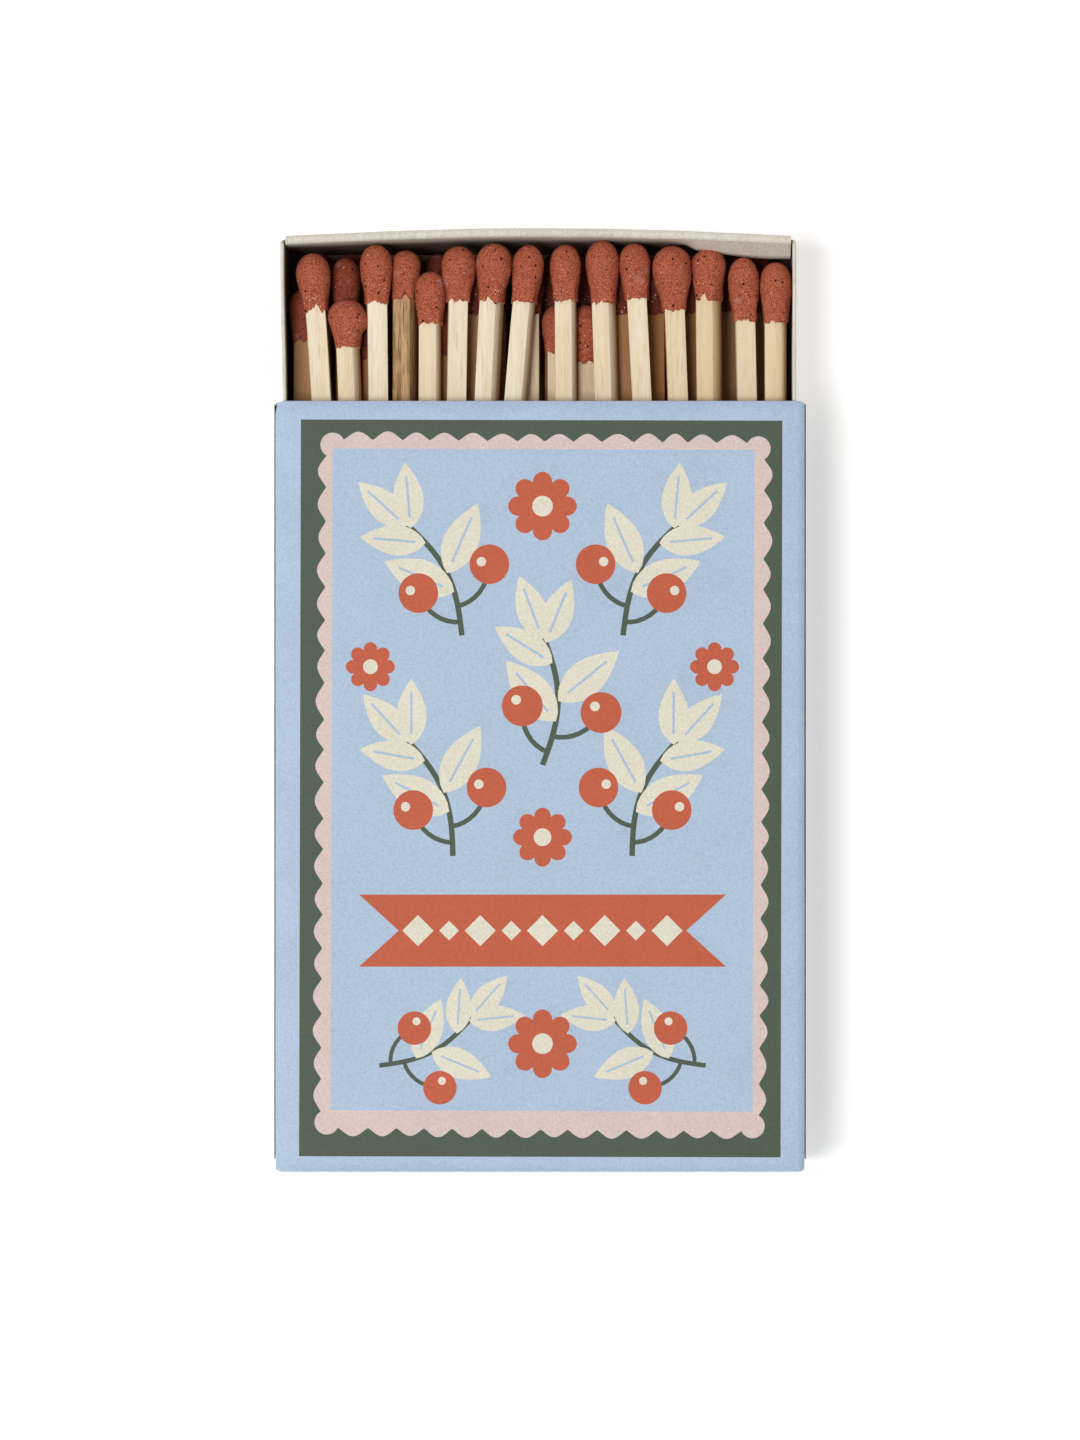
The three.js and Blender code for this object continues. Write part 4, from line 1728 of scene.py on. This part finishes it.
    def add_head(self, shell: Shell, around: int, stations: int, deep: float, rough: float = 1.0) -> None:
        """Adds the head: a drop of composition with a grainy skin and a ragged base.

        Args:
            shell: Where to add it.
            around: Points round it.
            stations: Rings along it.
            deep: Strength of the painted shade for lying deep in the tray, from 0 to 1.
            rough: How uneven its skin is.
        """
        axis = self.along()
        half = self.half_side.length
        side, rise = self.half_side.normalized(), self.half_rise.normalized()
        upward = math.atan2(rise.z, side.z)
        notch_at = upward + self.notch_turn
        lump_at = upward - 1.1
        skirt, notch_half, lump_half = 0.3, 0.42, 1.1
        coarse, fine, grainy = 0.11, 0.05, 0.028
        rings, down = [], []
        for i in range(stations + 1):
            share = 0.004 + 0.996 * (i / stations) ** 1.12
            ring = []
            for j in range(around):
                angle = 2 * math.pi * j / around
                way = side * math.cos(angle) + rise * math.sin(angle)
                radius = self.radius_at(share, angle, half, skirt)
                ragged = noise.noise(way * 2.2 + Vector((self.seed * 7.3, 0, 0)))
                ragged += 0.75 * noise.noise(way * 8.0 + Vector((0, self.seed * 5.1, 0)))
                turn = math.remainder(angle - notch_at, 2 * math.pi)
                bite = self.notch * max(0.0, 1 - abs(turn) / notch_half)
                past = max(0.0, (share - 0.55) / 0.45)
                reach = self.head_length * share + rough * (0.5 * ragged - bite) * past**2
                point = self.tip - axis * reach
                skin = point + way * radius
                lumps = coarse * noise.noise(skin * 0.55 + Vector((self.seed * 3.7, 0, 0)))
                lumps += fine * noise.noise(skin * 1.7)
                grains = grainy * noise.noise(skin * 6.0)
                swelling = math.remainder(angle - lump_at, 2 * math.pi)
                bulb = self.lump * max(0.0, 1 - (swelling / lump_half) ** 2)
                bulb *= smoothstep(0.15, 0.45, share) * (1 - smoothstep(0.6, 0.72, share))
                fade = min(1.0, share / 0.08)
                ring.append(point + way * (radius + rough * fade * (lumps + grains) + bulb))
            rings.append(ring)
            down.append(share)
        base = rings[-1]
        foot = self.tip - axis * self.head_length
        rings.append([p.lerp(foot, 0.28) for p in base])
        down.append(1.0)
        # Painted shade of the whole head.
        shell.loft(rings, down=down, deep=[deep] * len(rings))


@dataclass
class LooseMatches:
    """The matches of the two upper rows, each with its own splint and head."""

    finishes: Finishes
    top_row: int = 15
    count: int = 26
    streaked: tuple[int, ...] = (4,)
    notches: dict[int, Point] = field(
        default_factory=lambda: {1: (1.0, -0.05), 4: (1.2, 0.05), 7: (0.5, 0.4), 13: (1.1, 0.5)}
    )
    lumps: dict[int, float] = field(default_factory=lambda: {2: 0.5})
    tints: tuple[float, ...] = (
        0.3, 0.6, 0.15, 0.5, 0.6, 0.35, 0.25, 0.2, 0.55, 0.6, 0.45, 0.7, 0.95, 0.75, 0.85,
    )
    creep: float = 0.2
    splint_rings: int = 36
    head_mesh: tuple[int, int] = (56, 44)
    # Painted shade of the splint and head of some second-row matches; the rest of that row gets full
    # painted shade.
    painted_shade_by_match: dict[int, Point] = field(
        default_factory=lambda: {
            16: (0.75, 0.45),
            17: (1.0, 0.5),
            20: (0.75, 1.0),
            21: (0.15, 1.0),
            22: (0.15, 0.08),
            23: (0.25, 0.08),
            24: (0.85, 1.0),
        }
    )

    def build(self) -> None:
        """Builds every match over its CAD nodes."""
        for number in range(1, self.count + 1):
            stick = Stick.from_nodes(number)
            stick.notch, stick.notch_turn = self.notches.get(number, (0.0, 0.0))
            stick.lump = self.lumps.get(number, 0.0)
            stick.tint = self.tints[(number - 1) % self.top_row]
            wood = self.finishes.streaked if number in self.streaked else self.finishes.aspen
            # The top row gets no painted shade.
            if number <= self.top_row:
                wood_painted_shade, head_painted_shade = 0.0, 0.0
                stick.tip += stick.along() * self.creep
            else:
                wood_painted_shade, head_painted_shade = self.painted_shade_by_match.get(number, (1.0, 1.0))
            shell = Shell()
            stick.add_splint(shell, self.splint_rings, wood_painted_shade)
            splint = shell.build(f"splint_{number:02d}", Body.TRAY, "aspen", [wood], 30.0)
            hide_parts(f"match_{number:02d}_splint")
            shell = Shell()
            stick.add_head(shell, *self.head_mesh, head_painted_shade)
            head = shell.build(
                f"head_{number:02d}", Body.TRAY, "head_composition", [self.finishes.composition], 60.0
            )
            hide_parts(f"match_{number:02d}_head")


@dataclass
class PackedRow:
    """One of the three lower rows, whose heads have dried together."""

    finishes: Finishes
    node: str
    count: int
    pitch: float = 3.6
    head_length: float = 7.2
    head_radius: float = 1.86
    half_side: float = 1.2
    splint_rings: int = 12
    head_mesh: tuple[int, int] = (20, 14)
    # Painted shade of the packed splints.
    wood_painted_shade: float = 0.8
    rough: float = 0.5

    def build(self) -> None:
        """Builds the row's splints and heads over its CAD node."""
        corners = corners_of(self.node)
        front, back = corners[0].y, corners[-1].y
        low = [p.z for p in corners if p.y < back + 0.3]
        tips = [p.z for p in corners if p.y > front - 0.3]
        tail_z, tip_z = (min(low) + max(low)) / 2, (min(tips) + max(tips)) / 2
        splints, heads = Shell(), Shell()
        for i in range(self.count):
            x = (i - (self.count - 1) / 2) * self.pitch
            tip, tail = Vector((x, front, tip_z)), Vector((x, back, tail_z))
            stick = Stick(
                centres=[tip.lerp(tail, 0.03), tip.lerp(tail, 0.5), tail],
                half_side=Vector((self.half_side, 0, 0)),
                half_rise=Vector((0, 0, self.half_side)),
                tip=tip,
                head_length=self.head_length,
                head_radius=self.head_radius,
                seed=100 + round(tail_z * 7) * 20 + i,
            )
            stick.add_splint(splints, self.splint_rings, self.wood_painted_shade, ridged=False)
            # The packed heads get full painted shade.
            stick.add_head(heads, *self.head_mesh, 1.0, self.rough)
        name = self.node.replace("match_row_", "packed_")
        wood = splints.build(f"{name}_splints", Body.TRAY, "aspen", [self.finishes.aspen], 30.0)
        ends = heads.build(
            f"{name}_heads", Body.TRAY, "head_composition", [self.finishes.composition], 60.0
        )
        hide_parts(self.node)
        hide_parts(self.node)


# The studio


@dataclass
class Studio:
    """Glowing white floor, soft light from the left and the camera straight above."""

    camera_height: float = 800.0
    pixels_per_mm: float = 8.195
    picture_height: int = 1440
    aim: Point = (0.0, 8.1)
    top: float = 20.1
    sensor: float = 36.0
    floor_glow: float = 0.4
    floor_reach: float = 2000.0
    floor_drop: float = 0.02
    sky_strength: float = 0.4
    lamp_place: tuple[float, float, float] = (-271.0, -48.0, 961.0)
    lamp_size: float = 350.0
    lamp_power: float = 6.4
    nearest_seen: float = 10.0

    def floor(self) -> None:
        """Lays the floor that the box stands on."""
        sheet = bpy.data.meshes.new("floor")
        reach, drop = self.floor_reach * MM, self.floor_drop * MM
        corners = [(x * reach, y * reach, -drop) for x, y in ((-1, -1), (1, -1), (1, 1), (-1, 1))]
        sheet.from_pydata(corners, [], [(0, 1, 2, 3)])
        material = bpy.data.materials.new("floor_paper")
        material.use_nodes = True
        shader = material.node_tree.nodes["Principled BSDF"]
        shader.inputs["Base Color"].default_value = (0.93, 0.93, 0.93, 1.0)
        shader.inputs["Roughness"].default_value = 0.9
        shader.inputs["Specular IOR Level"].default_value = 0.1
        shader.inputs["Emission Color"].default_value = (1.0, 1.0, 1.0, 1.0)
        shader.inputs["Emission Strength"].default_value = self.floor_glow
        sheet.materials.append(material)
        floor = bpy.data.objects.new("floor", sheet)
        bpy.context.scene.collection.objects.link(floor)

    def lights(self) -> None:
        """Sets the soft surrounding light and the window light, high up on the left."""
        world = bpy.data.worlds.new("studio")
        world.use_nodes = True
        background = world.node_tree.nodes["Background"]
        background.inputs["Color"].default_value = (1.0, 0.995, 0.985, 1.0)
        background.inputs["Strength"].default_value = self.sky_strength
        bpy.context.scene.world = world
        lamp = bpy.data.lights.new("window", "AREA")
        lamp.shape = "DISK"
        lamp.size = self.lamp_size * MM
        lamp.energy = self.lamp_power
        light = bpy.data.objects.new("window", lamp)
        light.location = [place * MM for place in self.lamp_place]
        light.rotation_euler = (-light.location).to_track_quat("-Z", "Y").to_euler()
        bpy.context.scene.collection.objects.link(light)

    def camera(self) -> None:
        """Places the camera straight above, with the top of the picture towards +Y."""
        data = bpy.data.cameras.new("camera")
        data.sensor_fit = "VERTICAL"
        data.sensor_height = self.sensor
        data.sensor_width = self.sensor
        seen = self.picture_height / self.pixels_per_mm
        data.lens = self.sensor * self.camera_height / seen
        data.clip_start = self.nearest_seen * MM
        camera = bpy.data.objects.new("camera", data)
        camera.location = Vector((self.aim[0], self.aim[1], self.top + self.camera_height)) * MM
        bpy.context.scene.collection.objects.link(camera)
        bpy.context.scene.camera = camera

    def build(self) -> None:
        """Builds the whole studio."""
        self.floor()
        self.lights()
        self.camera()
        bpy.context.scene.view_settings.view_transform = "Standard"


def main() -> None:
    """Builds the studio and the box."""
    logging.basicConfig(level=logging.INFO, format="%(message)s")
    Studio().build()
    finishes = Finishes()
    sleeve = Sleeve(finishes)
    sleeve.tube()
    sleeve.lap()
    sleeve.dress_strikers()
    Tray(finishes).build()
    LooseMatches(finishes).build()
    for node, count in (("match_row_floor", 16), ("match_row_middle", 17), ("match_row_upper", 16)):
        PackedRow(finishes, node, count).build()


if __name__ == "__main__":
    main()
